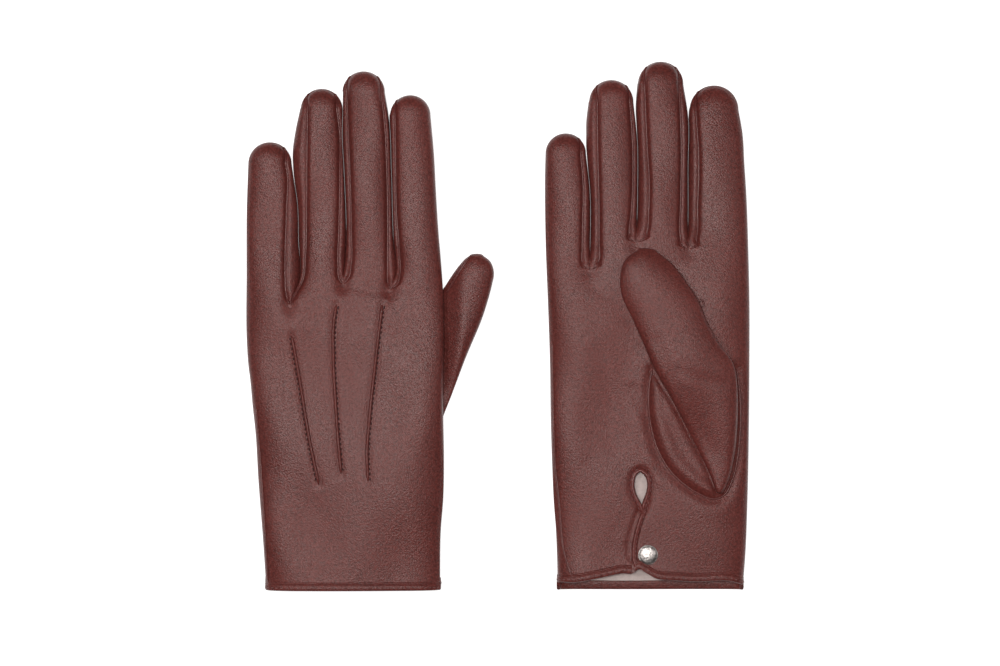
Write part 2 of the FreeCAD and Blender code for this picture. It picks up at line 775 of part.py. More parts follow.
def thumb(side):
    layers = {"leather": (ZERO, LEATHER), "lining": (LINING_OUTSIDE, LINING_INSIDE)}
    for layer, (outer, inner) in layers.items():
        name = f"{side}_thumb_{layer}"
        outside = thumb_solid(name + "_outside", side, outer, ZERO)
        inside = thumb_solid(name + "_inside", side, inner, size("stall_overrun"))
        finish(cut(name, outside, inside), name)


def glove(side):
    hand(side)
    flap(side)
    tongue(side)
    snap(side)
    for place_in_row, own in enumerate(FINGERS):
        neighbours = []
        if place_in_row > 0:
            neighbours.append((FINGERS[place_in_row - 1], LITTLE_EDGE))
        if place_in_row < len(FINGERS) - 1:
            neighbours.append((FINGERS[place_in_row + 1], INDEX_EDGE))
        finger(side, own, neighbours)
    thumb(side)


# Checks and files -----------------------------------------------------------------------------

def check():
    failed = [item.Name for item in doc.Objects if set(item.State) & {"Invalid", "Error"}]
    assert not failed, failed
    for item in nodes:
        assert not item.Shape.isNull() and item.Shape.isValid(), item.Label
        assert item.Shape.Solids, item.Label
    assert len({item.Label for item in nodes}) == len(nodes), "two sub-parts share a name"


def write():
    os.makedirs("parts", exist_ok=True)
    for item in nodes:
        item.Shape.exportStep(f"parts/{item.Label}.step")


fill_sheet()
for side in ("left", "right"):
    glove(side)
doc.recompute()
check()
write()
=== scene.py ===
import math

import bpy
import numpy as np
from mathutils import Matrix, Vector


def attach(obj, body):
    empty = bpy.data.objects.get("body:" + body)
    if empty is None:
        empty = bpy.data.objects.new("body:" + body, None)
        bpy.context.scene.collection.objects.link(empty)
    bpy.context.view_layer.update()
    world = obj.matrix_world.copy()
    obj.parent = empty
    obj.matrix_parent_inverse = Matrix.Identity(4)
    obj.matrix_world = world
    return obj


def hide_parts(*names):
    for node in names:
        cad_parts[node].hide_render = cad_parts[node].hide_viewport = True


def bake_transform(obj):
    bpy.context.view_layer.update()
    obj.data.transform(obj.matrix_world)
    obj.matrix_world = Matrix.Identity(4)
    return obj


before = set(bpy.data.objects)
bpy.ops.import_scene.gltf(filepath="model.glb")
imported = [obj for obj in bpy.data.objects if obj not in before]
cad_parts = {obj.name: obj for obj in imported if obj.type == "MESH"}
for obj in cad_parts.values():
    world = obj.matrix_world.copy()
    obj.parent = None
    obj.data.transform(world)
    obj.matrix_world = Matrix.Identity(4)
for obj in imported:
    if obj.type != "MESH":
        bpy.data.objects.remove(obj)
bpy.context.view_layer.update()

# Named sizes, in millimetres ------------------------------------------------------------------
MM = 0.001
SIDES = ("left", "right")
FINGERS = ("little", "ring", "middle", "index")
PLACE = {"left": (-119.7, -125.2), "right": (22.2, -125.2)}  # each glove's own corner
HINGE_Y = {"left": (156.0, 168.0, 169.0, 166.0), "right": (160.0, 172.0, 173.0, 170.0)}
BLEND_REACH = 10.0       # faces from this far below a finger's fold on go with the finger
EQUATOR = 5.0            # height of the side folds above the table
HAND_TOP = 12.0
FINGER_TOP = 11.0
FLOOR_GAP = 0.25
HAND_ROUND = 17.0        # width of the rounding along the outer folds of the hand
WALL_RISE = 15.0         # length over which a gap between two fingers opens
SEAM_DEPTH = 1.35
SEAM_WIDTH = 0.95
HEM = 3.8                # height of the hem band
STITCH_LONG = 1.5
STITCH_PITCH = 2.4
LINING_INSET = 1.3
TOUCH = 0.3              # neighbouring fingers this near are pressed together
CLEAR = 0.03             # what then stays between them
PALM_SHIFT = {"left": -3.0, "right": 0.0}  # the left palm is the right palm moved by this much in x
BACK_SHIFT = {"left": (0.0, 0.0), "right": (3.0, 4.0)}  # and the right back is the left back moved
SNAP = (48.6, 16.9)
SNAP_RADIUS = 4.7

# The edges of each finger, from the wrist to where its round tip starts, as x at y.
EDGES = {
    "left": {
        "outer_little": [(9.9, 0), (8.2, 25), (6.1, 52), (4.7, 75), (3.3, 88), (2.4, 98),
                         (1.2, 108), (0.6, 118), (0.5, 150), (0.6, 180), (1.3, 201.8)],
        "gap_0_left": [(27, 0), (24.5, 70), (21.6, 128), (21.3, 135), (25.3, 145.4),
                       (25.1, 166.3), (24.6, 183.3), (22.9, 195), (21.9, 201.8)],
        "gap_0_right": [(21.3, 135), (25.4, 145.4), (25.2, 166.3), (24.7, 183.3), (22.9, 200),
                        (22.7, 208), (23.9, 217), (26.1, 227.4)],
        "gap_1_left": [(49.5, 0), (47.5, 70), (46.3, 138), (46.4, 144.5), (47.7, 166.3),
                       (46.8, 197), (45.9, 215), (46.1, 227.4)],
        "gap_1_right": [(46.4, 144.5), (47.9, 166.3), (47, 197), (45.7, 225), (45.9, 235.6)],
        "gap_2_left": [(71, 0), (69.5, 70), (68.4, 136), (68.6, 142.1), (71.2, 149.7),
                       (70.1, 166.3), (69.2, 197), (67.7, 226), (66.1, 235.6)],
        "gap_2_right": [(68.6, 142.1), (71.4, 149.7), (70.3, 166.3), (69.4, 197), (68.6, 215),
                        (68.5, 224.8)],
        "outer_index": [(92.2, 0), (92.7, 29.6), (93.7, 42), (94.1, 63.6), (93.8, 80.6),
                        (93.5, 144.5), (92.5, 158), (91.7, 167), (90.3, 188.5), (89.4, 205.5),
                        (87.7, 224.8)],
    },
    "right": {
        "outer_little": [(6.1, 0), (5.7, 17.7), (5.2, 29), (4.3, 40.4), (3.3, 63), (2.8, 80),
                         (2.4, 108), (1.4, 137), (0.5, 160), (0.1, 180), (0.1, 199),
                         (0.3, 206.7)],
        "gap_0_left": [(22.5, 0), (22, 80), (21.3, 140), (21.1, 151.6), (21.5, 165),
                       (21.3, 190), (19.5, 206.7)],
        "gap_0_right": [(21.1, 151.6), (21.7, 165), (21.5, 190), (20.2, 206), (19.6, 216),
                        (20.0, 223), (21, 231.1)],
        "gap_1_left": [(45.5, 0), (44.5, 80), (43, 150), (42.9, 164.4), (43.5, 172),
                       (44, 190), (43.7, 215), (42, 231.1)],
        "gap_1_right": [(42.9, 164.4), (43.7, 172), (44.2, 190), (44, 215), (43.4, 230),
                        (44.1, 239.5)],
        "gap_2_left": [(69.5, 0), (69, 80), (67.6, 150), (67.5, 161.1), (67.8, 170),
                       (67.9, 200), (67.9, 225), (65.7, 239.5)],
        "gap_2_right": [(67.5, 161.1), (68, 170), (68.1, 200), (68.2, 220), (68.6, 227.4)],
        "outer_index": [(93.7, 0), (95.1, 17.7), (96, 40.4), (96.8, 80), (97, 108), (97, 137),
                        (96.5, 159.7), (95.5, 188), (94.6, 202), (93.7, 216.4), (91.8, 227.4)],
    },
}
TIPS = {
    "left": ((11.6, 201.8, 10.3), (36.1, 227.4, 10.0), (56.0, 235.6, 10.1), (78.1, 224.8, 9.6)),
    "right": ((9.9, 206.7, 9.6), (31.5, 231.1, 10.5), (54.9, 239.5, 10.8), (80.2, 227.4, 11.6)),
}
# Gap bottoms as y: on the back of the hand they start lower than on the palm.
BACK_GAPS = {"left": (135.0, 144.5, 142.1), "right": (139.0, 148.5, 146.0)}
PALM_GAPS = {"left": (147.5, 160.5, 157.0), "right": (151.6, 164.4, 161.1)}
UP = {"left": "back", "right": "palm"}
# Seams of each finger on its upper face: x at y, left and right; None where there is no seam.
SEAMS = {
    "left": (
        (None, [(21.3, 135), (19.9, 139), (19.2, 147), (19.1, 158), (19.7, 180), (20.0, 197),
                (19.2, 201.8)]),
        ([(21.3, 135), (24.2, 140.5), (27.4, 146.9), (28.6, 158), (29.1, 180), (29.3, 205),
          (29.6, 227.4)],
         [(46.4, 144.5), (44.6, 147.5), (44.1, 153), (44.5, 170), (45.0, 200), (44.8, 216),
          (43.4, 227.4)]),
        ([(46.4, 144.5), (49.0, 147.8), (50.2, 154), (50.3, 170), (49.6, 200), (48.6, 222),
          (48.0, 235.6)],
         [(68.6, 142.1), (67.6, 146), (67.5, 152), (67.6, 170), (67.2, 197), (66.0, 222),
          (64.5, 235.6)]),
        ([(68.6, 142.1), (71.8, 144.6), (73.2, 149), (72.9, 160), (71.6, 180), (71.2, 205),
          (71.0, 224.8)], None),
    ),
    "right": (
        (None, [(21.1, 151.6), (18.7, 152.7), (17.7, 155.5), (17.7, 162), (17.9, 175),
                (18.2, 190), (17.0, 206.7)]),
        ([(21.1, 151.6), (23.8, 152.5), (25.3, 155.5), (25.5, 165), (25.5, 183), (24.9, 208.8),
          (24.7, 231.1)],
         [(42.9, 164.4), (40.6, 165.5), (39.9, 169), (40.7, 177), (41.7, 197.5), (41.3, 216),
          (40.2, 231.1)]),
        ([(42.9, 164.4), (46.2, 165.6), (48.2, 169.8), (48.9, 178), (49.3, 192), (48.3, 210),
          (47.0, 239.5)],
         [(67.5, 161.1), (65.1, 162.3), (64.1, 166.5), (64.2, 182.8), (64.6, 204.6),
          (63.6, 239.5)]),
        ([(67.5, 161.1), (70.3, 162.2), (71.5, 166.5), (72.2, 182.8), (72.7, 200.8),
          (71.4, 227.4)], None),
    ),
}
UNDER_SEAM = {"back": 4.5, "palm": 3.7}   # how far the hidden face's seams lie from the gap

POINTS = {
    "little": [(22.4, 120.4), (26.3, 98.1), (30.6, 72.1), (35.2, 49.9)],
    "middle": [(43.5, 135.2), (42.3, 127.9), (41.9, 110.2), (42.8, 91.5), (44, 74),
               (45.7, 54.9)],
    "index": [(65.1, 135.2), (63.9, 125.6), (61.3, 103.4), (59.1, 82.5), (57.9, 65.5),
              (58.4, 51.5)],
}
KEYHOLE = [(44.9, 56.2), (42.6, 54.3), (41.8, 50.4), (42.6, 46.2), (44.2, 42.2), (45.9, 38.6),
           (46.9, 42.2), (48.1, 46.6), (48.6, 51.3), (47.2, 54.8)]
FREE_EDGE = [(47.4, 43.0), (46.6, 39.8), (45.3, 36.6), (43.4, 31.2), (41.8, 25.4), (41.0, 19.6),
             (41.1, 14.6), (42.6, 10.2)]
BAND = 2.3               # width of a binding
BAND_HIGH = 0.85
FLAP_HINGE = ((49.5, 38.0), (70.0, 0.2))
FLAP_REACH = 4.0         # palm faces up to this far past the flap's fold, on the hand's side, go with the flap
PALM_HEM = [(0, 1.2), (6, 3.6), (14.5, 4.1), (26.5, 6.3), (36.2, 8.3), (42.8, 9.2), (43.4, 9.9),
            (47.5, 8.6), (52, 6.0), (60.5, 4.9), (70, 4.3), (90, 3.9), (97, 1.2)]
# Each thumb as two edges with as many points each, from its root in the palm to its tip.
THUMB = {
    "right": ([(80.9, 46.2), (79.6, 49.6), (76.9, 56.5), (70.1, 70.2), (60.5, 88.7),
               (51.6, 104.0), (47, 114.7), (41.2, 127.9), (36.3, 138.5), (35.2, 147.6),
               (37.4, 155.6), (43.2, 160.6)],
              [(83.4, 46.0), (85.6, 50), (88.0, 57.5), (90.2, 72.5), (90.5, 92.5),
               (88.6, 106.5), (81.7, 116.8), (75.6, 127.9), (72.2, 136.6), (66.9, 144.8),
               (60.2, 153.6), (52.4, 159.9)]),
    "left": ([(83.5, 58), (82, 64), (81.5, 78), (82, 92), (83.5, 108), (86.5, 124),
              (90.5, 137), (95.6, 145.6), (99.6, 151.6), (103.6, 156.4), (106.2, 158.4)],
             [(86.5, 58), (89, 66), (93.0, 80), (97.8, 92.5), (104.6, 110.4), (111.2, 126),
              (114.6, 136), (117.0, 145), (117.8, 150.4), (116.2, 155.4), (112.6, 158.5)]),
}
THUMB_HINGE = {"right": ((65.8, 111.1), (-0.3576, 0.9339)), "left": ((94.6, 113.0), (1.0, 0.0))}
THUMB_REACH = 8.0        # faces from this far before a thumb's fold on go with its stall
THUMB_SEAM_SHARE = 0.13  # how far across the thumb its seam lies
THUMB_SEAM_ROWS = slice(70, 112)  # the part of its length with a seam, counted from its root
THUMB_LINING_ROWS = slice(56, 112)  # and the part with a lining
THUMB_LINING_WIDTH, THUMB_LINING_DEPTH = 0.86, 0.72  # the lining's size as shares of the thumb's
LEFT_THUMB_ROOT_Y = 84.0  # the left thumb below this stays with the hand
LEFT_THUMB_SHIFT = 3.0  # how much nearer its root the left thumb parts from the hand
GAP_RUN = 9.0  # the length above a gap's bottom over which two fingers draw apart
ROUND_FROM, ROUND_RUN = 118.0, 52.0  # where the hand's roundness turns into the fingers'
UNDER_TIP_SHARE = 0.72  # where the seams underneath cross a round tip, as a share of its radius
THUMB_OVAL = [(50.8, 104.5), (49.4, 98.2), (48.9, 88.7), (50.2, 76.9), (53.0, 67.2), (58.4, 57.6),
              (65.3, 50.6), (73, 45.6), (79.8, 43.3), (84.4, 45.0), (88.2, 51.5), (90.7, 61.3),
              (92.1, 74), (92.1, 92.5), (90.6, 104.8)]
CRESCENT_INNER = [(60.8, 106.0), (63.0, 99), (66, 90), (70, 79), (74, 69.5), (77.5, 61.5),
                  (80.5, 54.5), (82.3, 49.8), (83.2, 47.8), (84.2, 46.2)]
# Soft creases as (line, depth, width), and the dimples at the gap bottoms as (x, y).
BACK_CREASES = (
    ([(47.3, 144.6), (56, 142.3), (66.2, 141.2)], 0.32, 2.6),
    ([(52.0, 131.0), (50.6, 120.0), (50.9, 104.0)], 0.22, 3.4),
    ([(30.0, 118.0), (33.5, 96.0), (38.0, 74.0)], 0.22, 3.6),
)
PALM_CREASES = (
    ([(41.2, 95.3), (48.7, 78.8), (52, 66.5), (54.9, 56.5)], 0.45, 2.6),
    ([(24.0, 143.0), (34.0, 136.0), (41.0, 125.0)], 0.35, 3.6),
    ([(26.0, 112.0), (31.0, 92.0), (33.0, 70.0)], 0.3, 5.0),
    ([(20.0, 60.0), (27.0, 42.0), (35.0, 30.0)], 0.3, 4.2),
)
THUMB_CREASES = (
    ([(63.0, 104.0), (72.0, 100.0), (84.0, 98.0)], 0.35, 3.0),
    ([(52.0, 118.0), (58.0, 104.0), (68.0, 86.0), (78.0, 66.0)], 0.35, 3.6),
)
BACK_DIMPLES = ((21.3, 135), (46.4, 144.5), (68.6, 142.1))
PALM_DIMPLES = ((21.1, 151.6), (42.9, 164.4), (67.5, 161.1))
# The hem band in section as (height, distance out from the leather), with its stitched groove.
HEM_SECTION = [(HEM + 0.25, -0.25), (HEM + 0.12, 0.12), (HEM - 0.15, 0.36), (HEM - 0.6, 0.42),
               (HEM - 0.8, 0.12), (HEM - 1.05, 0.12), (HEM - 1.3, 0.42), (1.9, 0.50), (0.6, 0.46),
               (0.1, 0.28), (-0.12, -0.1), (-0.1, -0.7), (0.15, -1.15), (0.8, -1.35),
               (3.0, -1.45), (HEM + 1.2, -1.45), (HEM + 1.3, -1.0)]
# The snap's lower parts in section as (radius, height out from the leather).
SNAP_SOCKET = [(0.0, -0.7), (3.4, -0.8), (3.5, -1.05), (3.3, -1.3), (1.7, -1.25), (1.6, -0.9),
               (0.0, -0.9)]
SNAP_STUD = [(0.0, -1.35), (1.1, -1.4), (1.3, -1.6), (1.1, -1.8), (3.4, -1.95), (3.6, -2.3),
             (0.0, -2.4)]
SIDE_WELT = {
    "left": [(11.0, 4), (10.0, 20), (8.4, 45), (6.6, 70), (5.3, 87)],
    "right": [(13.1, 5), (9.2, 17.7), (6.8, 40.9), (4.9, 58.7), (4, 78.8), (3.5, 117.5)],
}


# Lines and small mathematics ------------------------------------------------------------------
def smooth_step(t):
    t = np.clip(t, 0.0, 1.0)
    return t * t * (3 - 2 * t)


def hermite(knots, values, at):
    """A smooth curve through values at rising knots, held level outside them."""
    knots, values = np.asarray(knots, float), np.asarray(values, float)
    chord = np.diff(values) / np.diff(knots)
    slope = np.empty_like(values)
    slope[0], slope[-1] = chord[0], chord[-1]
    before, after = np.diff(knots)[:-1], np.diff(knots)[1:]
    slope[1:-1] = (chord[:-1] * after + chord[1:] * before) / (before + after)
    at = np.clip(at, knots[0], knots[-1])
    k = np.clip(np.searchsorted(knots, at) - 1, 0, len(chord) - 1)
    step = knots[k + 1] - knots[k]
    t = (at - knots[k]) / step
    return ((2 * t**3 - 3 * t**2 + 1) * values[k] + (t**3 - 2 * t**2 + t) * step * slope[k]
            + (3 * t**2 - 2 * t**3) * values[k + 1] + (t**3 - t**2) * step * slope[k + 1])


def x_at(line, y):
    points = np.array(line, float)
    return hermite(points[:, 1], points[:, 0], y)


def y_at(line, x):
    points = np.array(line, float)
    return hermite(points[:, 0], points[:, 1], x)


def curve(points, spacing, closed=False):
    """Evenly spaced points along a smooth curve through the given ones."""
    points = np.array(points, float)
    if closed:
        points = np.vstack([points[-2:], points, points[:3]])
    run = run_along(points)
    low, high = (run[2], run[-3]) if closed else (run[0], run[-1])
    count = max(4, int(round((high - low) / spacing)))
    at = np.linspace(low, high, count + 1)
    return np.stack([hermite(run, points[:, k], at) for k in range(points.shape[1])], axis=1)


def inside(polygon, x, y):
    """Which points lie inside a closed polygon."""
    hit = np.zeros(np.shape(x), bool)
    for (ax, ay), (bx, by) in zip(polygon, np.roll(polygon, -1, axis=0)):
        if ay == by:
            continue
        crosses = (ay > y) != (by > y)
        hit ^= crosses & (x < (bx - ax) * (y - ay) / (by - ay) + ax)
    return hit


def distance_to(line, x, y):
    """Distance from each point to a chain of straight pieces."""
    a, b = line[:-1], line[1:]
    d = b - a
    p = np.stack([np.ravel(x), np.ravel(y)], axis=1)
    best = np.full(len(p), 1e9)
    for start, step in zip(a, d):
        t = np.clip(((p - start) @ step) / max(step @ step, 1e-9), 0, 1)
        best = np.minimum(best, np.linalg.norm(p - start - t[:, None] * step, axis=1))
    return best.reshape(np.shape(x))


def dome(t, power):
    """Rises from 0 at t 0, upright at first, to 1 at t 1 and beyond."""
    t = np.clip(t, 0.0, 1.0)
    return (1 - (1 - t) ** power) ** (1 / power)


def bell(x, width):
    return np.exp(-((x / width) ** 2))


def run_along(points):
    """The length of a line from its start to each of its points."""
    return np.concatenate([[0], np.cumsum(np.linalg.norm(np.diff(points, axis=0), axis=1))])


def unit(vectors):
    return vectors / np.maximum(np.linalg.norm(vectors, axis=1), 1e-12)[:, None]


def creased(height, creases, x, y):
    for line, depth, width in creases:
        height = height - depth * bell(distance_to(np.array(line, float), x, y), width)
    return height


def undulation(x, y, phase):
    """The soft unevenness of thin leather that lies flat."""
    total = 0.0
    waves = ((0.9, 0.035, 0.021), (0.7, -0.047, 0.043), (0.6, 0.083, -0.037), (0.45, 0.061, 0.097),
             (0.35, -0.131, 0.071), (0.25, 0.17, 0.11))
    for n, (size, fx, fy) in enumerate(waves):
        total = total + size * np.sin(fx * x + fy * y + 1.7 * n + phase)
    return 0.6 * total


# The two faces of each glove as heights ---------------------------------------------------------
def face_word(side, up):
    return UP[side] if up > 0 else ("palm" if UP[side] == "back" else "back")


def face_up(side, word):
    """1 where the glove's back or palm is its upper face, -1 where it is the lower one."""
    return 1 if UP[side] == word else -1


def gaps_of(side, up):
    return (BACK_GAPS if face_word(side, up) == "back" else PALM_GAPS)[side]


def equator(side, x, y):
    """Height of the side folds: the left thumb lies under its edge of the hand."""
    if side == "right":
        return EQUATOR + 0.0 * x
    return EQUATOR + 1.9 * smooth_step((x - 70) / 22) * bell(y - 112, 38)


def relief(side, up, x, y):
    """Creases, soft folds and sunk places of one face, as height to add outwards."""
    phase = {"left": 0.4, "right": 2.1}[side] + (0 if up > 0 else 1.3)
    add = undulation(x, y, phase)
    if face_word(side, up) == "back":
        x, y = x - BACK_SHIFT[side][0], y - BACK_SHIFT[side][1]
        add = add - 0.9 * bell(np.hypot(x - 33, (y - 30) * 0.6), 15) \
            + 0.6 * bell(np.hypot(x - 62, (y - 40) * 0.6), 16) \
            + 0.5 * bell(np.hypot(x - 80, y - 72), 12)
        add = creased(add, BACK_CREASES, x, y)
        for line in POINTS.values():
            near = distance_to(np.array(line, float), x, y)
            add = add - 0.6 * bell(near, 1.9) + 0.2 * bell(near, 6.0)
        for gap_x, gap_y in BACK_DIMPLES:
            add = add - 1.6 * bell(np.hypot(x - gap_x, (y - gap_y) * 0.62), 3.2)
        return add
    x = x - PALM_SHIFT[side]
    add = add - 0.9 * bell(np.hypot((x - 47) * 0.75, y - 18), 18)
    add = add - 0.8 * bell(np.hypot((x - 45.5) * 0.9, (y - 47) * 0.7), 8)
    oval = distance_to(curve(THUMB_OVAL, 2.0), x, y)
    add = add - 0.9 * bell(oval, 2.1) + 0.3 * bell(oval - 6.0, 4.5)
    for edge in (curve(KEYHOLE, 1.5, closed=True), curve(FREE_EDGE, 2.0)):
        add = add - 0.7 * bell(distance_to(edge, x, y) - 1.5, 0.9)
    add = creased(add, PALM_CREASES, x, y)
    lower = 4.0 if side == "left" else 0.0
    for gap_x, gap_y in PALM_DIMPLES:
        add = add - 1.0 * bell(np.hypot(x - gap_x, (y - gap_y + lower) * 0.8), 4.2)
    return add


def hollow(side, up, x, y):
    """Room that the lower face leaves over the table for the pieces that stand proud of it."""
    if face_word(side, up) == "back":
        hem = 0.75 * bell(y, 7.0)
        x, y = x - BACK_SHIFT[side][0], y - BACK_SHIFT[side][1]
        near = [distance_to(np.array(line, float), x, y) for line in POINTS.values()]
        return np.maximum(0.9 * bell(np.min(near, axis=0), 2.8), hem)
    x = x - PALM_SHIFT[side]
    near = [distance_to(curve(KEYHOLE, 1.5, closed=True), x, y),
            distance_to(curve(FREE_EDGE, 2.0), x, y)]
    hem = 0.75 * bell(y, 7.0)
    snap = 1.9 * bell(np.hypot(x - SNAP[0], y - SNAP[1]), 8.5)
    band = np.maximum(1.45 * bell(np.min(near, axis=0), 4.2),
                      0.5 * bell(distance_to(curve(THUMB_OVAL, 2.0), x, y), 2.5))
    return np.maximum(np.maximum(snap, band), hem)


class Glove:
    """One glove's outline, and the height of its upper or lower face at any place."""

    def __init__(self, side, inset=0.0):
        self.side, self.inset = side, inset
        self.edges = EDGES[side]
        self.gaps = {up: [g - 1.4 * inset for g in gaps_of(side, up)] for up in (1, -1)}
        self.first = 1 if self.gaps[1][0] < self.gaps[-1][0] else -1

    def tip(self, i):
        cx, cy, r = TIPS[self.side][i]
        return cx, cy, r - self.inset

    def common(self, i, y):
        """The line that parts finger i from the next one."""
        return x_at(self.edges[f"gap_{i}_left"], y)

    def side_lines(self, i, y):
        """The left and right side folds of finger i, without its round tip."""
        cx, cy, r = self.tip(i)
        if i == 0:
            left = x_at(self.edges["outer_little"], y) + self.inset
        else:
            gap = min(self.gaps[1][i - 1], self.gaps[-1][i - 1])
            own = x_at(self.edges[f"gap_{i - 1}_right"], np.maximum(y, gap))
            shared = self.common(i - 1, y)
            part = smooth_step((y - gap) / GAP_RUN)
            left = shared + part * (np.maximum(own - shared - TOUCH, CLEAR) + self.inset)
        if i == 3:
            right = x_at(self.edges["outer_index"], y) - self.inset
        else:
            gap = min(self.gaps[1][i], self.gaps[-1][i])
            part = smooth_step((y - gap) / GAP_RUN)
            right = self.common(i, y) - part * (CLEAR + self.inset)
        over = np.sqrt(np.clip(r * r - (y - cy) ** 2, 0, None))
        return (np.where(y > cy, cx - over, left), np.where(y > cy, cx + over, right))

    def seam_lines(self, i, up, y):
        """The left and right seams of finger i on one face, which meet its folds at the tip."""
        left, right = self.side_lines(i, y)
        if self.inset:
            return left, right
        cx, cy, r = self.tip(i)
        found = []
        for k, (edge, own) in enumerate(zip((left, right), SEAMS[self.side][i])):
            if own is None:
                found.append(edge)
                continue
            j = i - 1 if k == 0 else i
            gap = self.gaps[up][j]
            if up > 0:
                line = x_at(own, np.minimum(y, cy))
            else:
                away = UNDER_SEAM[face_word(self.side, up)] * np.sqrt(smooth_step((y - gap) / 6))
                line = edge + away * (1 if k == 0 else -1)
            under = -UNDER_TIP_SHARE if k == 0 else UNDER_TIP_SHARE
            share = (x_at(own, cy) - cx) / r if up > 0 else under
            reach = np.clip((y - cy) / (0.8 * r), 0, 1) ** 1.6
            share = share + (np.sign(share) - share) * reach
            over = np.sqrt(np.clip(r * r - (y - cy) ** 2, 0, None))
            if up < 0:
                near_tip = smooth_step((y - cy + 20) / 20)
                line = line * (1 - near_tip) + (cx + share * r) * near_tip
            line = np.where(y > cy, cx + share * over, line)
            found.append(np.where(y <= gap, self.common(j, y), line))
        return found

    def height(self, i, up, x, y):
        """Height of one face over the table at (x, y), which lies on finger i or below it."""
        cx, cy, r = self.tip(i)
        left, right = self.side_lines(i, y)
        low_edge = x_at(self.edges["outer_little"], y) + self.inset
        high_edge = x_at(self.edges["outer_index"], y) - self.inset
        power = 2.3 if up > 0 else 4.0
        to_finger = smooth_step((y - ROUND_FROM) / ROUND_RUN)
        wide = HAND_ROUND * (1 - to_finger) + np.maximum((right - left) / 2, 3) * to_finger
        full = 1.0
        for k, edge in enumerate((left, right)):
            j = i - 1 if k == 0 else i
            outer = (k == 0 and i == 0) or (k == 1 and i == 3)
            if outer:
                away = (x - low_edge) if k == 0 else (high_edge - x)
                fade = 1.0
            else:
                away = (x - edge) if k == 0 else (edge - x)
                fade = smooth_step((y - self.gaps[up][j]) / WALL_RISE) ** 0.8
            full = full - fade * (1 - dome(away / wide, power))
        if i > 0:
            full = full - (1 - dome((x - low_edge) / wide, power)) * (y < self.gaps[up][0])
        if i < 3:
            full = full - (1 - dome((high_edge - x) / wide, power)) * (y < self.gaps[up][2])
        round_tip = dome(1 - np.hypot(x - cx, y - cy) / r, power)
        full = np.where(y > cy, round_tip, full)
        top = HAND_TOP * (1 - to_finger) + FINGER_TOP * to_finger - self.inset
        middle = equator(self.side, x, y)
        reach = (top - middle) if up > 0 else (middle - FLOOR_GAP - self.inset)
        spread = relief(self.side, up, x, y)
        if not self.inset:
            for line, outer in zip(self.seam_lines(i, up, y), (i == 0, i == 3)):
                if not outer:
                    j = i - 1 if line is not None and np.mean(line) < cx else i
                    grown = smooth_step((y - self.gaps[up][j]) / 4)
                    spread = spread - SEAM_DEPTH * bell(x - line, SEAM_WIDTH) * grown
        soft = smooth_step(full * 2.2)
        bulge = reach * full
        if up > 0:
            return middle + bulge + (spread - 0.35) * soft
        sunk = np.clip(-0.45 * spread, 0.0, 2.0) + hollow(self.side, up, x, y)
        return middle - bulge + sunk * soft

    def heights(self, up, x, y, i=None):
        """Heights of one face at many places, each on the finger it lies in unless i names one."""
        x, y = np.asarray(x, float), np.asarray(y, float)
        if i is not None:
            return self.height(i, up, x, y)
        strip = sum((x > self.common(k, y)).astype(int) for k in range(3))
        z = np.zeros(x.shape)
        for k in range(4):
            own = strip == k
            if own.any():
                z[own] = self.height(k, up, x[own], y[own])
        return z


# Meshes -----------------------------------------------------------------------------------------
class Patches:
    """Grids of points that are joined where they touch, with a name for the piece of each face."""

    def __init__(self):
        self.points, self.faces, self.names, self.count = [], [], [], 0

    def grid(self, points, names, flip=False):
        """points is rows by columns by 3; names has one name for each face, or is one name."""
        rows, columns = points.shape[:2]
        index = np.arange(rows * columns).reshape(rows, columns) + self.count
        quads = np.stack([index[:-1, :-1], index[:-1, 1:], index[1:, 1:], index[1:, :-1]], axis=2)
        quads = quads.reshape(-1, 4)
        if flip:
            quads = quads[:, ::-1]
        self.points.append(points.reshape(-1, 3))
        self.faces.append(quads)
        if isinstance(names, str):
            self.names += [names] * len(quads)
        else:
            self.names += list(np.ravel(names))
        self.count += rows * columns

    def welded(self):
        """(points, faces as lists, their names, a normal for each point)"""
        points = np.vstack(self.points)
        quads = np.vstack(self.faces)
        key = np.round(points * 2e3).astype(np.int64)
        _, first, index = np.unique(key, axis=0, return_index=True, return_inverse=True)
        index = index.reshape(-1)
        points, quads = points[first], index[quads]
        diagonal = np.cross(points[quads[:, 2]] - points[quads[:, 0]],
                            points[quads[:, 3]] - points[quads[:, 1]])
        normals = np.zeros_like(points)
        for k in range(4):
            np.add.at(normals, quads[:, k], diagonal)
        normals = unit(normals)
        faces, names = [], []
        for quad, name in zip(quads.tolist(), self.names):
            kept = [v for k, v in enumerate(quad) if v != quad[k - 1]]
            if len(set(kept)) == len(kept) >= 3:
                faces.append(kept)
                names.append(name)
        return points, faces, names, normals


def mesh_object(name, points, faces, material, normals=None):
    """A mesh in the row frame from points in millimetres, holding only the points it uses."""
    used = sorted({v for face in faces for v in face})
    new = {v: k for k, v in enumerate(used)}
    mesh = bpy.data.meshes.new(name)
    mesh.from_pydata((np.asarray(points)[used] * MM).tolist(), [],
                     [[new[v] for v in face] for face in faces])
    mesh.materials.append(material)
    mesh.polygons.foreach_set("use_smooth", [True] * len(mesh.polygons))
    if normals is not None:
        mesh.normals_split_custom_set_from_vertices(np.asarray(normals)[used].tolist())
    mesh.update()
    made = bpy.data.objects.new(name, mesh)
    bpy.context.scene.collection.objects.link(made)
    return made


def cosine_steps(count):
    return (1 - np.cos(np.linspace(0, math.pi, count + 1))) / 2


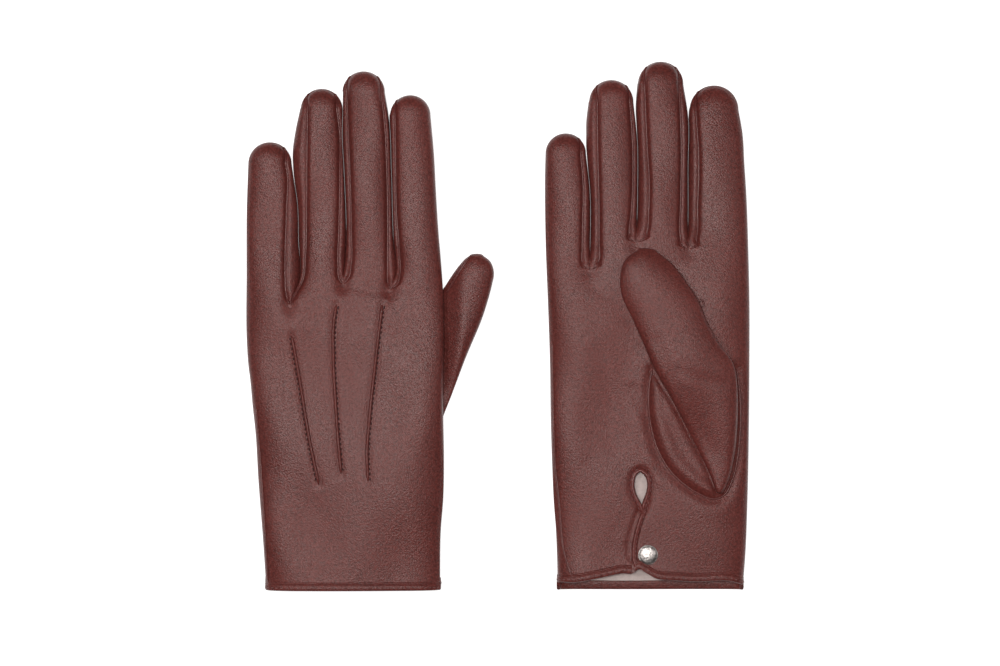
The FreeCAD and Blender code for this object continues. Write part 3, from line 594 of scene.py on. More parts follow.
def hand_rows(glove, step):
    """Rows from the wrist to just above the highest gap, closer together near each gap bottom."""
    stops = sorted(set(glove.gaps[1] + glove.gaps[-1]))
    rows = [0.0]
    top = stops[-1] + 5.0
    while rows[-1] < top:
        y = rows[-1]
        near = min(abs(y - s - 1.2) for s in stops)
        rows.append(y + (0.5 if near < 3.2 and step < 2 else step))
    rows = np.array(rows)
    for s in stops:
        rows[np.argmin(abs(rows - s))] = s
    return np.unique(rows)


def finger_rows(glove, i, shared, step):
    _, cy, r = glove.tip(i)
    straight = np.arange(shared[-1] + step, cy - 0.4 * step, step)
    over = cy + r * np.sin(np.linspace(0, math.pi / 2, max(8, int(18 / max(step, 1)))))
    return np.concatenate([shared, straight, over])


def bent_rows(glove, up, x, y):
    """The palm is cut shorter than the back and rises towards its vent; the lining stops short."""
    if glove.inset:
        y = y + (HEM + 0.5) * np.clip(1 - y / 30, 0, 1)
    if face_word(glove.side, up) != "palm":
        return y
    return y + y_at(PALM_HEM, x - PALM_SHIFT[glove.side]) * np.clip(1 - y / 30, 0, 1) ** 1.5


def glove_patches(glove, step, across, strip):
    """Both faces of a glove and the walls of its gaps, as patches.

    Rows lie step apart, a finger's panel has across faces in each row, and each fourchette strip.
    """
    made = Patches()
    shared = hand_rows(glove, step)
    sheets = {}
    for i in range(4):
        rows = finger_rows(glove, i, shared, step)
        for up in (1, -1):
            y = rows[:, None]
            left, right = glove.side_lines(i, rows)
            seam_left, seam_right = glove.seam_lines(i, up, rows)
            if i > 0:
                low = rows < glove.gaps[up][i - 1]
                left = np.where(low, glove.common(i - 1, rows), left)
            columns, kinds = [], []
            panel = cosine_steps(across)
            if strip and i > 0:
                t = np.linspace(0, 1, strip + 1)[:-1] ** 1.5
                columns.append(left[:, None] + (seam_left - left)[:, None] * t)
                kinds += [f"fourchette_{FINGERS[i - 1]}"] * strip
            columns.append(seam_left[:, None] + (seam_right - seam_left)[:, None] * panel)
            kinds += ["panel"] * across
            if strip and i < 3:
                t = 1 - np.linspace(1, 0, strip + 1)[1:] ** 1.5
                columns.append(seam_right[:, None] + (right - seam_right)[:, None] * t)
                kinds += [f"fourchette_{FINGERS[i + 1]}"] * strip
            x = np.hstack(columns)
            y = np.broadcast_to(y, x.shape)
            z = glove.height(i, up, x, y)
            y = bent_rows(glove, up, x, y)
            points = np.stack([x, y, z], axis=2)
            mid_y = (rows[1:] + rows[:-1]) / 2
            start = HINGE_Y[glove.side][i] - BLEND_REACH
            names = np.empty((len(rows) - 1, len(kinds)), object)
            for k, kind in enumerate(kinds):
                names[:, k] = np.where(mid_y < start, "hand", f"{FINGERS[i]}_{kind}")
            sheets[i, up] = points
            made.grid(points, names, flip=up < 0)
    for i in range(3):
        add_walls(made, glove, i, sheets)
    return made


def add_walls(made, glove, i, sheets):
    """The fourchettes' inner walls between finger i and the next, down to the crotch."""
    first = glove.first
    gap_a, gap_b = glove.gaps[first][i], glove.gaps[-first][i]
    for finger, column in ((i, -1), (i + 1, 0)):
        a, b = sheets[finger, first][:, column], sheets[finger, -first][:, column].copy()
        rows = a[:, 1]
        keep = rows >= gap_a - 1e-6
        a, b, rows = a[keep], b[keep], rows[keep]
        start_z = a[0, 2]
        end_z = b[np.argmin(abs(rows - gap_b)), 2]
        share = np.clip((rows - gap_a) / (gap_b - gap_a), 0, 1) ** 0.8
        crotch = rows < gap_b - 1e-6
        b[crotch, 2] = (start_z + (end_z - start_z) * share)[crotch]
        b[crotch, 0] = glove.common(i, rows[crotch])
        t = np.linspace(0, 1, 9)[None, :, None]
        grid = a[:, None] * (1 - t) + b[:, None] * t
        bulge = np.sin(np.pi * t[..., 0]) * np.minimum(abs(a[:, 2] - b[:, 2]), 6)[:, None] * 0.05
        grid[..., 0] += bulge * (-1 if finger == i else 1) * 0.5
        neighbour = FINGERS[i + 1] if finger == i else FINGERS[i]
        mid = (rows[1:] + rows[:-1]) / 2
        start = HINGE_Y[glove.side][finger] - BLEND_REACH
        owner = f"{FINGERS[finger]}_fourchette_{neighbour}"
        names = np.repeat(np.where(mid < start, "hand", owner)[:, None], 8, axis=1)
        made.grid(grid, names.astype(object), flip=(finger == i) == (first > 0))


def placed(points, side):
    px, py = PLACE[side]
    return np.asarray(points) + np.array([px, py, 0.0])


# Swept lines, ridges and stitches -----------------------------------------------------------------
class Sweeps:
    """Bands, cords and stitches that follow lines, gathered into one mesh."""

    def __init__(self):
        self.points, self.faces = [], []

    def add(self, points, faces):
        base = sum(len(p) for p in self.points)
        self.points.append(points)
        self.faces += [[v + base for v in face] for face in faces]

    def sweep(self, path, normals, profile, taper=0.0, closed=False):
        """A closed profile of (across, out) pairs carried along path."""
        path, normals = np.asarray(path, float), np.asarray(normals, float)
        if closed:
            tangent = np.roll(path, -1, axis=0) - np.roll(path, 1, axis=0)
        else:
            tangent = np.gradient(path, axis=0)
        tangent = unit(tangent)
        across = unit(np.cross(tangent, normals))
        out = np.cross(across, tangent)
        scale = np.ones(len(path))
        if taper:
            run = run_along(path)
            end = np.minimum(run, run[-1] - run)
            scale = np.maximum(np.sqrt(np.clip(end / taper, 0, 1)), 0.04)
        profile = np.asarray(profile, float)
        rings = (path[:, None] + across[:, None] * (profile[None, :, :1] * scale[:, None, None])
                 + out[:, None] * (profile[None, :, 1:] * scale[:, None, None]))
        n, m = rings.shape[:2]
        faces = []
        for i in range(n if closed else n - 1):
            for j in range(m):
                a, b = i * m + j, i * m + (j + 1) % m
                c, d = ((i + 1) % n) * m + (j + 1) % m, ((i + 1) % n) * m + j
                faces.append([a, d, c, b])
        if not closed:
            faces.append(list(range(m)))
            faces.append([(n - 1) * m + j for j in reversed(range(m))])
        self.add(rings.reshape(-1, 3), faces)

    def stitch(self, centre, along, normal, radius):
        """One short stitch: a rounded bar lying along a line."""
        along = along / np.linalg.norm(along)
        across = np.cross(normal, along)
        rings = []
        for a in np.linspace(-1, 1, 7):
            r = radius * math.sqrt(max(0.0, 1 - abs(a) ** 2.6)) + 0.02
            for b in np.linspace(0, 2 * math.pi, 7)[:-1]:
                rings.append(centre + along * a * STITCH_LONG / 2
                             + across * r * math.cos(b) + normal * r * math.sin(b))
        faces = []
        for i in range(6):
            for j in range(6):
                faces.append([i * 6 + j, i * 6 + (j + 1) % 6, (i + 1) * 6 + (j + 1) % 6,
                              (i + 1) * 6 + j])
        self.add(np.array(rings), faces)

    def made(self, name, material):
        return mesh_object(name, np.vstack(self.points), self.faces, material)


def round_profile(wide, high):
    """A flattened round section, half of it below the surface that it lies on."""
    a = np.linspace(0, 2 * math.pi, 11)[:-1]
    return np.stack([wide / 2 * np.cos(a), high * np.sin(a)], axis=1)


def band_profile(wide, high, depth):
    """A folded strip: nearly flat on top with rounded shoulders, and a foot below."""
    a = np.linspace(math.pi, 0, 9)
    across = wide / 2 * np.cos(a)
    across[1:-1] *= 1.02
    top = list(zip(across, high * abs(np.sin(a)) ** 0.55))
    return top + [(wide / 2 * 0.9, -depth), (-wide / 2 * 0.9, -depth)]


def on_face(glove, up, line, spacing=0.0, lift=0.0, shift=(0.0, 0.0), i=None):
    """A line laid on a face, made smooth where spacing is given: its points and normals there."""
    flat = curve(line, spacing) if spacing else np.array(line, float)
    flat = flat + np.array(shift)
    x, y = flat[:, 0], flat[:, 1]
    z = glove.heights(up, x, y, i)
    step = 0.4
    dx = glove.heights(up, x + step, y, i) - glove.heights(up, x - step, y, i)
    dy = glove.heights(up, x, y + step, i) - glove.heights(up, x, y - step, i)
    normals = np.stack([-dx / (2 * step), -dy / (2 * step), np.ones(len(x))], axis=1) * up
    return placed(np.stack([x, y, z + up * lift], axis=1), glove.side), unit(normals)


def stitch_row(name, points, normals, offset, lift, radius, material):
    """Even stitches along a line, moved across it by offset and out by lift, as one mesh."""
    thread = Sweeps()
    run = run_along(points)
    for s in np.arange(STITCH_PITCH * 0.6, run[-1] - STITCH_PITCH * 0.4, STITCH_PITCH):
        k = min(np.searchsorted(run, s), len(points) - 1)
        t = (s - run[k - 1]) / max(run[k] - run[k - 1], 1e-9)
        centre = points[k - 1] * (1 - t) + points[k] * t
        along = points[k] - points[k - 1]
        normal = normals[k]
        across = np.cross(along / np.linalg.norm(along), normal)
        thread.stitch(centre + across * offset + normal * lift, along, normal, radius)
    return thread.made(name, material)


def swept_piece(name, path, normals, profile, material, taper=0.0, closed=False):
    swept = Sweeps()
    swept.sweep(path, normals, profile, taper, closed)
    return swept.made(name, material)


# Materials --------------------------------------------------------------------------------------
def node_tree(name):
    material = bpy.data.materials.new(name)
    material.use_nodes = True
    tree = material.node_tree
    shader = tree.nodes["Principled BSDF"]
    return material, tree, shader


def add_node(tree, kind, **values):
    made = tree.nodes.new(kind)
    for key, value in values.items():
        if key in made.inputs:
            made.inputs[key].default_value = value
        else:
            setattr(made, key, value)
    return made


def mixed(tree, share, low, high):
    """A colour that runs from low to high with share."""
    ramp = tree.nodes.new("ShaderNodeMix")
    ramp.data_type = "RGBA"
    tree.links.new(share, ramp.inputs[0])
    ramp.inputs[6].default_value = (*low, 1)
    ramp.inputs[7].default_value = (*high, 1)
    return ramp.outputs[2]


def mapped(tree, share, low, high, from_low=0.0, from_high=1.0):
    ramp = tree.nodes.new("ShaderNodeMapRange")
    tree.links.new(share, ramp.inputs["Value"])
    ramp.inputs["From Min"].default_value = from_low
    ramp.inputs["From Max"].default_value = from_high
    ramp.inputs["To Min"].default_value = low
    ramp.inputs["To Max"].default_value = high
    return ramp.outputs["Result"]


def bumps(tree, shader, *layers):
    """Bump layers of (height, strength, distance in metres), one upon the other."""
    below = None
    for height, strength, distance in layers:
        bump = add_node(tree, "ShaderNodeBump", Strength=strength, Distance=distance)
        tree.links.new(height, bump.inputs["Height"])
        if below:
            tree.links.new(below, bump.inputs["Normal"])
        below = bump.outputs["Normal"]
    tree.links.new(below, shader.inputs["Normal"])


def leather(name, colour, grain, rough, depth):
    """Fine smooth leather: a small pebbled grain, faint pores and uneven colour."""
    material, tree, shader = node_tree(name)
    place = add_node(tree, "ShaderNodeTexCoord").outputs["Object"]
    cells = add_node(tree, "ShaderNodeTexVoronoi", Scale=grain)
    cells.feature = "SMOOTH_F1"
    fine = add_node(tree, "ShaderNodeTexNoise", Scale=grain * 1.7, Detail=4.0, Roughness=0.6)
    broad = add_node(tree, "ShaderNodeTexNoise", Scale=28.0, Detail=3.0, Roughness=0.55)
    cloud = add_node(tree, "ShaderNodeTexNoise", Scale=grain * 0.55, Detail=3.0, Roughness=0.6)
    for texture in (cells, fine, broad, cloud):
        tree.links.new(place, texture.inputs["Vector"])
    dark = tuple(c * 0.54 for c in colour)
    light = tuple(c * 1.50 for c in colour)
    blend = add_node(tree, "ShaderNodeMath", operation="ADD")
    tree.links.new(mapped(tree, cloud.outputs["Fac"], 0.0, 0.78, 0.33, 0.67), blend.inputs[0])
    tree.links.new(mapped(tree, broad.outputs["Fac"], 0.0, 0.22, 0.3, 0.7), blend.inputs[1])
    tree.links.new(mixed(tree, blend.outputs[0], dark, light), shader.inputs["Base Color"])
    tree.links.new(mapped(tree, broad.outputs["Fac"], rough - 0.04, rough + 0.05, 0.3, 0.7),
                   shader.inputs["Roughness"])
    shader.inputs["Specular IOR Level"].default_value = 0.36
    shader.inputs["Specular Tint"].default_value = (1.0, 0.80, 0.77, 1)
    shader.inputs["Sheen Weight"].default_value = 0.02
    shader.inputs["Sheen Roughness"].default_value = 0.5
    shader.inputs["Sheen Tint"].default_value = (0.9, 0.78, 0.76, 1)
    bumps(tree, shader, (cells.outputs["Distance"], 1.0, depth),
          (fine.outputs["Fac"], 1.0, depth * 0.7), (cloud.outputs["Fac"], 1.0, depth * 0.7))
    return material


def knit(name, colour):
    """The brushed knit of the lining."""
    material, tree, shader = node_tree(name)
    place = add_node(tree, "ShaderNodeTexCoord").outputs["Object"]
    loops = add_node(tree, "ShaderNodeTexVoronoi", Scale=1100.0)
    nap = add_node(tree, "ShaderNodeTexNoise", Scale=700.0, Detail=5.0, Roughness=0.7)
    for texture in (loops, nap):
        tree.links.new(place, texture.inputs["Vector"])
    dark = tuple(c * 0.72 for c in colour)
    tree.links.new(mixed(tree, nap.outputs["Fac"], dark, tuple(min(1, c * 1.25) for c in colour)),
                   shader.inputs["Base Color"])
    tree.links.new(mapped(tree, loops.outputs["Distance"], 0.85, 1.0), shader.inputs["Roughness"])
    shader.inputs["Sheen Weight"].default_value = 0.4
    bumps(tree, shader, (nap.outputs["Fac"], 0.8, 0.0003))
    return material


def metal(name, colour, rough):
    """Nickel plate, a little clouded and worn."""
    material, tree, shader = node_tree(name)
    place = add_node(tree, "ShaderNodeTexCoord").outputs["Object"]
    cloud = add_node(tree, "ShaderNodeTexNoise", Scale=520.0, Detail=4.0, Roughness=0.65)
    tree.links.new(place, cloud.inputs["Vector"])
    dark = tuple(c * 0.45 for c in colour)
    tree.links.new(mixed(tree, mapped(tree, cloud.outputs["Fac"], 0, 1, 0.35, 0.65), dark, colour),
                   shader.inputs["Base Color"])
    tree.links.new(mapped(tree, cloud.outputs["Fac"], rough - 0.08, rough + 0.12),
                   shader.inputs["Roughness"])
    shader.inputs["Metallic"].default_value = 1.0
    bumps(tree, shader, (cloud.outputs["Fac"], 0.8, 0.0004))
    return material


LEATHER = leather("leather", (0.102, 0.0205, 0.0165), 1700.0, 0.355, 0.00013)
# lighter than the leather: painted highlight along the raised bindings
BINDING_HIGHLIGHT = leather("leather_binding", (0.118, 0.027, 0.023), 1900.0, 0.35, 0.00006)
SEAM = leather("leather_seam", (0.095, 0.023, 0.020), 2200.0, 0.32, 0.00003)
# near-black: painted shade of the dents that the stitches press in beside the points
DENT_SHADE = leather("stitch_dent_painted_shade", (0.022, 0.006, 0.006), 2200.0, 0.6, 0.00003)
THREAD = leather("thread", (0.17, 0.075, 0.07), 2600.0, 0.6, 0.00008)
LINING = knit("lining", (0.52, 0.42, 0.39))
METAL = metal("snap_metal", (0.60, 0.54, 0.51), 0.36)


# Pieces of each glove -----------------------------------------------------------------------------
def finish_piece(made, slot, *nodes):
    if nodes:
        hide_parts(*nodes)


def ride_piece(made, body, slot, *nodes):
    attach(made, body)
    finish_piece(made, slot, *nodes)


def bend_finger(made):
    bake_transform(made)


def flap_side(x, y):
    """How far a palm place lies from the flap's hinge line, on the flap's side."""
    (ax, ay), (bx, by) = FLAP_HINGE
    run = math.hypot(bx - ax, by - ay)
    return ((by - ay) * (x - ax) - (bx - ax) * (y - ay)) / run


def split_palm(points, faces, names, side):
    """Names the flap's faces, and drops those in the keyhole opening."""
    up = face_up(side, "palm")
    shift = PALM_SHIFT[side]
    centre = np.array([np.mean(points[face], axis=0) for face in faces])
    x, y, z = centre[:, 0] - shift, centre[:, 1], centre[:, 2]
    on_palm = (z - EQUATOR) * up > 1.0
    hole = inside(curve(KEYHOLE, 0.7, closed=True), x, y) & on_palm
    edge = curve(FREE_EDGE, 0.5)[::-1]
    free_x = np.interp(y, edge[:, 1], edge[:, 0])
    on_flap = on_palm & (y < 40.0) & (x > free_x) & (flap_side(x, y) > -FLAP_REACH)
    kept = [k for k in range(len(faces)) if not hole[k]]
    return [faces[k] for k in kept], ["flap" if on_flap[k] else names[k] for k in kept]


def build_shell(side):
    """The leather of one glove: hand, flap, finger panels and fourchettes."""
    glove = Glove(side)
    patches = glove_patches(glove, step=1.15, across=24, strip=5)
    points, faces, names, normals = patches.welded()
    faces, names = split_palm(points, faces, names, side)
    points = placed(points, side)
    groups = {}
    for face, name in zip(faces, names):
        groups.setdefault(name, []).append(face)
    for name, own in groups.items():
        made = mesh_object(f"{side}_{name}_leather", points, own, LEATHER, normals)
        if name == "hand":
            ride_piece(made, f"{side}_glove", "leather", f"{side}_trank_hand")
        elif name == "flap":
            blend_flap(made)
            finish_piece(made, "leather", f"{side}_vent_flap")
        else:
            finger, kind = name.split("_", 1)
            bend_finger(made)
            if kind == "panel":
                finish_piece(made, "leather", f"{side}_{finger}_leather")
            else:
                neighbour = kind.split("_")[1]
                finish_piece(made, "leather", f"{side}_{finger}_fourchette_{neighbour}_side")
    return glove


def blend_flap(made):
    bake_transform(made)


def build_lining(side):
    """The knit bag inside the leather, with its fingers."""
    glove = Glove(side, LINING_INSET)
    patches = glove_patches(glove, step=2.5, across=10, strip=0)
    points, faces, names, normals = patches.welded()
    up = face_up(side, "palm")
    shift = PALM_SHIFT[side]
    x, y = points[:, 0] - shift, points[:, 1]
    inner = (points[:, 2] - EQUATOR) * up < 0
    lift = 6.6 * bell(np.hypot((x - 45.5) * 0.8, (y - 48) * 0.55), 10) \
        + 3.0 * bell(np.hypot((x - 38) * 0.35, y - 8), 7)
    centre = np.array([np.mean(points[face], axis=0) for face in faces])
    points[:, 2] += np.where(inner, up * lift, 0.0)
    near = np.hypot(centre[:, 0] - shift - 45.5, (centre[:, 1] - 47) * 0.8) < 12
    vent = (centre[:, 1] < 44) & (abs(centre[:, 0] - shift - 46) < 9)
    cut = (near | vent) & ((centre[:, 2] - EQUATOR) * up > 1.5)
    points = placed(points, side)
    groups = {}
    for k, (face, name) in enumerate(zip(faces, names)):
        if not cut[k]:
            groups.setdefault(name.split("_")[0], []).append(face)
    for name, own in groups.items():
        made = mesh_object(f"{side}_{name}_knit_lining", points, own, LINING, normals)
        if name == "hand":
            ride_piece(made, f"{side}_glove", "lining", f"{side}_hand_lining")
        else:
            bend_finger(made)
            finish_piece(made, "lining", f"{side}_{name}_lining")


def build_seams(glove):
    """The raised line on each finger seam."""
    side = glove.side
    for i, finger in enumerate(FINGERS):
        beads = Sweeps()
        _, cy, r = glove.tip(i)
        for up in (1, -1):
            for k in range(2):
                if SEAMS[side][i][k] is None:
                    continue
                gap = glove.gaps[up][i - 1 if k == 0 else i]
                y = np.concatenate([np.linspace(gap, gap + 6, 14)[1:],
                                    np.linspace(gap + 6, cy, 60)[1:],
                                    cy + r * 0.78 * np.sin(np.linspace(0, math.pi / 2, 12))[1:]])
                x = glove.seam_lines(i, up, y)[k]
                path, normals = on_face(glove, up, np.stack([x, y], axis=1), 0, 0.12, i=i)
                beads.sweep(path, normals, round_profile(0.95, 0.38), taper=1.0)
        made = beads.made(f"{side}_{finger}_seam_beads", SEAM)
        bend_finger(made)
        finish_piece(made, "leather")


def build_points(glove):
    """The three raised seams on the back of the hand, with dark bars beside them as painted shade
    of their stitch dents.
    """
    side = glove.side
    up = face_up(side, "back")
    shift = BACK_SHIFT[side]
    for name, line in POINTS.items():
        path, normals = on_face(glove, up, line, 0.7, 0.0, shift)
        ridge = round_profile(1.7, 1.05 if up > 0 else 0.7)
        made = swept_piece(f"{side}_{name}_point_ridge", path, normals, ridge, LEATHER, taper=3.0)
        ride_piece(made, f"{side}_glove", "leather", f"{side}_{name}_point")
        across = (1.05 if name == "little" else -1.05) * (1 if up > 0 else -1)
        # dark bars beside each point: painted shade of its stitch dents
        made = stitch_row(f"{side}_{name}_point_stitches", path, normals, across, 0.16, 0.34, DENT_SHADE)
        ride_piece(made, f"{side}_glove", "leather")


def hem_loop(glove, y, count=90):
    """The section of a glove at height y up the wrist: points and outward normals, once round."""
    loops = []
    for up in (1, -1):
        t = cosine_steps(count)
        left = float(x_at(glove.edges["outer_little"], y))
        right = float(x_at(glove.edges["outer_index"], y))
        x = left + (right - left) * t
        z = glove.heights(up, x, np.full(len(x), y))
        loops.append(np.stack([x, z], axis=1))
    section = np.vstack([loops[0], loops[1][::-1][1:-1]])
    tangent = np.roll(section, -1, axis=0) - np.roll(section, 1, axis=0)
    return section, unit(np.stack([-tangent[:, 1], tangent[:, 0]], axis=1)), count + 1


def on_hem_flap(x, free):
    """Whether a place in the palm's hem lies on the flap, between its free edge and its fold."""
    return x > free and flap_side(x, 6.0) > -FLAP_REACH


def build_hem(glove):
    """The turned and stitched hem, with the part of it on the flap made as a piece of its own."""
    side = glove.side
    section, normal, top_count = hem_loop(glove, 2.0)
    is_top = np.arange(len(section)) < top_count
    is_palm = is_top if face_up(side, "palm") > 0 else ~is_top
    shift = PALM_SHIFT[side]
    rise = np.where(is_palm, y_at(PALM_HEM, section[:, 0] - shift), 0.0)
    grid = np.array([[(p[0] + n[0] * off, y + lift, p[1] + n[1] * off)
                      for y, off in HEM_SECTION] for p, n, lift in zip(section, normal, rise)])
    grid = np.concatenate([grid, grid[:1]])
    n, m = grid.shape[:2]
    x = grid[:, m // 2, 0] - shift
    points = placed(grid.reshape(-1, 3), side)
    fixed, moving = [], []
    free = FREE_EDGE[-1][0] - 0.6  # where the flap's edge cuts the hem
    for a in range(n - 1):
        mid = (x[a] + x[a + 1]) / 2
        if is_palm[a] and abs(mid - free) < 0.5:
            continue
        own = moving if is_palm[a] and on_hem_flap(mid, free) else fixed
        own.extend([a * m + b, a * m + b + 1, (a + 1) * m + b + 1, (a + 1) * m + b]
                   for b in range(m - 1))
    made = mesh_object(f"{side}_hem_band", points, fixed, LEATHER)
    ride_piece(made, f"{side}_glove", "leather", f"{side}_cuff_hem")
    made = mesh_object(f"{side}_flap_hem_band", points, moving, LEATHER)
    blend_flap(made)
    finish_piece(made, "leather")
    fixed_thread, flap_thread = Sweeps(), Sweeps()
    run = run_along(section)
    for s in np.arange(1.0, run[-1], STITCH_PITCH):
        k = min(np.searchsorted(run, s), len(section) - 1)
        if abs(section[k, 0] - shift - free) < 2.0 and is_palm[k]:
            continue
        p, nrm = section[k], np.array([normal[k, 0], 0.0, normal[k, 1]])
        centre = placed([[p[0] + nrm[0] * 0.5, 1.25 + rise[k], p[1] + nrm[2] * 0.5]], side)[0]
        step = section[k] - section[k - 1]
        along = np.array([step[0], rise[k] - rise[k - 1], step[1]])
        moves = is_palm[k] and on_hem_flap(section[k, 0] - shift, free)
        (flap_thread if moves else fixed_thread).stitch(centre, along, nrm, 0.2)
    made = fixed_thread.made(f"{side}_hem_stitches", THREAD)
    ride_piece(made, f"{side}_glove", "leather")
    made = flap_thread.made(f"{side}_flap_hem_stitches", THREAD)
    blend_flap(made)
    finish_piece(made, "leather")


def build_vent(glove):
    """The bindings round the keyhole and along the flap, the tongue under it and the snap."""
    side = glove.side
    up = face_up(side, "palm")
    shift = (PALM_SHIFT[side], 0.0)
    ring = curve(KEYHOLE, 0.5, closed=True)
    centre = np.mean(ring, axis=0)
    grown = ring + (ring - centre) / np.linalg.norm(ring - centre, axis=1)[:, None] * BAND * 0.42
    path, normals = on_face(glove, up, grown[:-1][::3], 0, 0.15, shift)
    # the binding's lighter colour is painted highlight on the raised band
    made = swept_piece(f"{side}_keyhole_edge", path, normals, band_profile(BAND, BAND_HIGH, 0.8),
                       BINDING_HIGHLIGHT, closed=True)
    ride_piece(made, f"{side}_glove", "leather_binding", f"{side}_keyhole_binding")
    made = stitch_row(f"{side}_keyhole_stitches", path, normals, 0.35, 0.83, 0.2, THREAD)
    ride_piece(made, f"{side}_glove", "leather_binding")
    edge = [(x + BAND / 2, y) for x, y in FREE_EDGE]
    path, normals = on_face(glove, up, edge, 0.6, 0.55, shift)
    made = swept_piece(f"{side}_flap_edge", path, normals, band_profile(BAND, BAND_HIGH, 1.2),
                       BINDING_HIGHLIGHT)
    ride_piece(made, f"{side}_flap", "leather_binding", f"{side}_flap_binding")
    made = stitch_row(f"{side}_flap_edge_stitches", path, normals, -0.35, 0.83, 0.2, THREAD)
    ride_piece(made, f"{side}_flap", "leather_binding")
    build_tongue(glove, up, shift)
    build_snap(glove, up, shift)


def build_tongue(glove, up, shift):
    """The end of the palm that lies under the flap and carries the stud."""
    side = glove.side
    x, y = np.meshgrid(np.linspace(38.5, 56.0, 16), np.linspace(10.5, 34.0, 18))
    sunk = 0.25 + 1.35 * smooth_step((x - 38.5) / 4)
    x = x + shift[0]
    top = placed(np.stack([x, y, glove.heights(up, x, y) - up * sunk], axis=2), side)
    low = top - np.array([0, 0, up * 1.0])
    patches = Patches()
    patches.grid(top, "tongue", flip=up < 0)
    patches.grid(low, "tongue", flip=up > 0)
    for a, b in ((top[0], low[0]), (top[-1], low[-1]), (top[:, -1], low[:, -1])):
        patches.grid(np.stack([a, b]), "tongue")
    points, faces, _, _ = patches.welded()
    made = mesh_object(f"{side}_tongue", points, faces, LEATHER)
    ride_piece(made, f"{side}_glove", "leather", f"{side}_underflap")


def lathe(profile, centre, up, count=64):
    """A turned shape round a vertical axis through centre; profile holds (radius, height)."""
    patches = Patches()
    a = np.linspace(0, 2 * math.pi, count + 1)
    profile = np.array(profile, float)
    x = centre[0] + profile[:, :1] * np.cos(a)
    y = centre[1] + profile[:, :1] * np.sin(a)
    z = centre[2] + up * np.broadcast_to(profile[:, 1:], x.shape)
    patches.grid(np.stack([x, y, z], axis=2), "turned", flip=up > 0)
    return patches.welded()


def build_snap(glove, up, shift):
    """The cap on the flap, the socket under it, and the stud on the tongue."""
    side = glove.side
    place_x = np.array([SNAP[0] + shift[0]])
    place_z = glove.heights(up, place_x, np.array([SNAP[1]]))
    centre = placed([place_x[0], SNAP[1], place_z[0]], side)
    r = SNAP_RADIUS
    a = np.linspace(0, math.pi / 2, 12)
    cap = [(r * math.sin(t) * 0.9, 0.62 + 0.95 * math.cos(t)) for t in a]
    cap += [(r * 0.95, 0.66), (r * 0.99, 0.5), (r, 0.3), (r * 0.99, 0.05), (r * 0.9, -0.15),
            (0.0, -0.15)]
    points, faces, _, normals = lathe(cap, centre, up)
    made = mesh_object(f"{side}_snap_dome", points, faces, METAL, normals)
    ride_piece(made, f"{side}_flap", "snap_metal", f"{side}_snap_cap")
    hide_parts(f"{side}_snap_socket")
    points, faces, _, _ = lathe(SNAP_SOCKET, centre, up, 48)
    made = mesh_object(f"{side}_snap_ring", points, faces, METAL)
    ride_piece(made, f"{side}_flap", "snap_metal")
    points, faces, _, _ = lathe(SNAP_STUD, centre, up, 48)
    made = mesh_object(f"{side}_snap_post", points, faces, METAL)
    ride_piece(made, f"{side}_glove", "snap_metal", f"{side}_snap_stud")


# Thumbs -------------------------------------------------------------------------------------------
def edge_pair(side, count):
    """Points along the thumb's two edges at the same shares of each, and round its tip."""
    found = []
    for line in THUMB[side]:
        line = np.array(line, float)
        t = np.linspace(0, 1, len(line))
        at = np.linspace(0, 1, count + 1)
        found.append(np.stack([hermite(t, line[:, k], at) for k in range(2)], axis=1))
    left, right = found
    a, b = left[-1], right[-1]
    middle, half = (a + b) / 2, (b - a) / 2
    ahead = np.array([-half[1], half[0]])
    angle = np.linspace(0, math.pi / 2, 9)[1:]
    cap_left = [middle - half * math.cos(t) + ahead * 0.28 * math.sin(t) for t in angle]
    cap_right = [middle + half * math.cos(t) + ahead * 0.28 * math.sin(t) for t in angle]
    return np.vstack([left, cap_left]), np.vstack([right, cap_right])


def thumb_surface(glove, x, y, outline):
    """Heights of the thumb's lower and upper skins at places inside its outline."""
    side = glove.side
    away = distance_to(outline, x, y)
    if side == "right":
        rise = smooth_step((y - 50) / 62)
        wide = 2.5 + 11.5 * rise
        tall = 3.0 + 5.6 * rise - 0.4 * smooth_step((y - 135) / 25)
        base = glove.heights(1, x, y) + 0.2
        base = np.maximum(base, 12.35 * rise + base * (1 - rise))
    else:
        wide = 11.0
        outside = smooth_step((x - 92.0) / 12)
        tall = (3.4 + 5.0 * outside) * (0.5 + 0.5 * smooth_step((y - 62) / 30))
        base = np.full(x.shape, 0.3)
    waist = 0.42 if side == "right" else 0.4
    middle = base + tall * waist
    skin = undulation(x * 1.4, y * 1.4, 3.3) * 0.9
    full_top, full_low = dome(away / wide, 2.2), dome(away / wide, 3.4)
    top = middle + tall * (1 - waist) * full_top + skin * 0.6 * smooth_step(full_top * 1.6)
    if side == "right":
        top = creased(top, THUMB_CREASES, x, y)
    return middle - tall * waist * full_low, top


def split_thumb(x, y, side):
    """Which faces of the thumb stay with the hand and which go with the stall."""
    (hx, hy), (nx, ny) = THUMB_HINGE[side]
    mid_x, mid_y = ((x[1:] + x[:-1]) / 2)[:, :-1], ((y[1:] + y[:-1]) / 2)[:, :-1]
    reach = (mid_x - hx) * nx + (mid_y - hy) * ny
    if side == "left":
        reach = np.where(mid_y < LEFT_THUMB_ROOT_Y, -np.inf, reach + LEFT_THUMB_SHIFT)
    return np.where(reach < -THUMB_REACH, "root", "tip").astype(object)


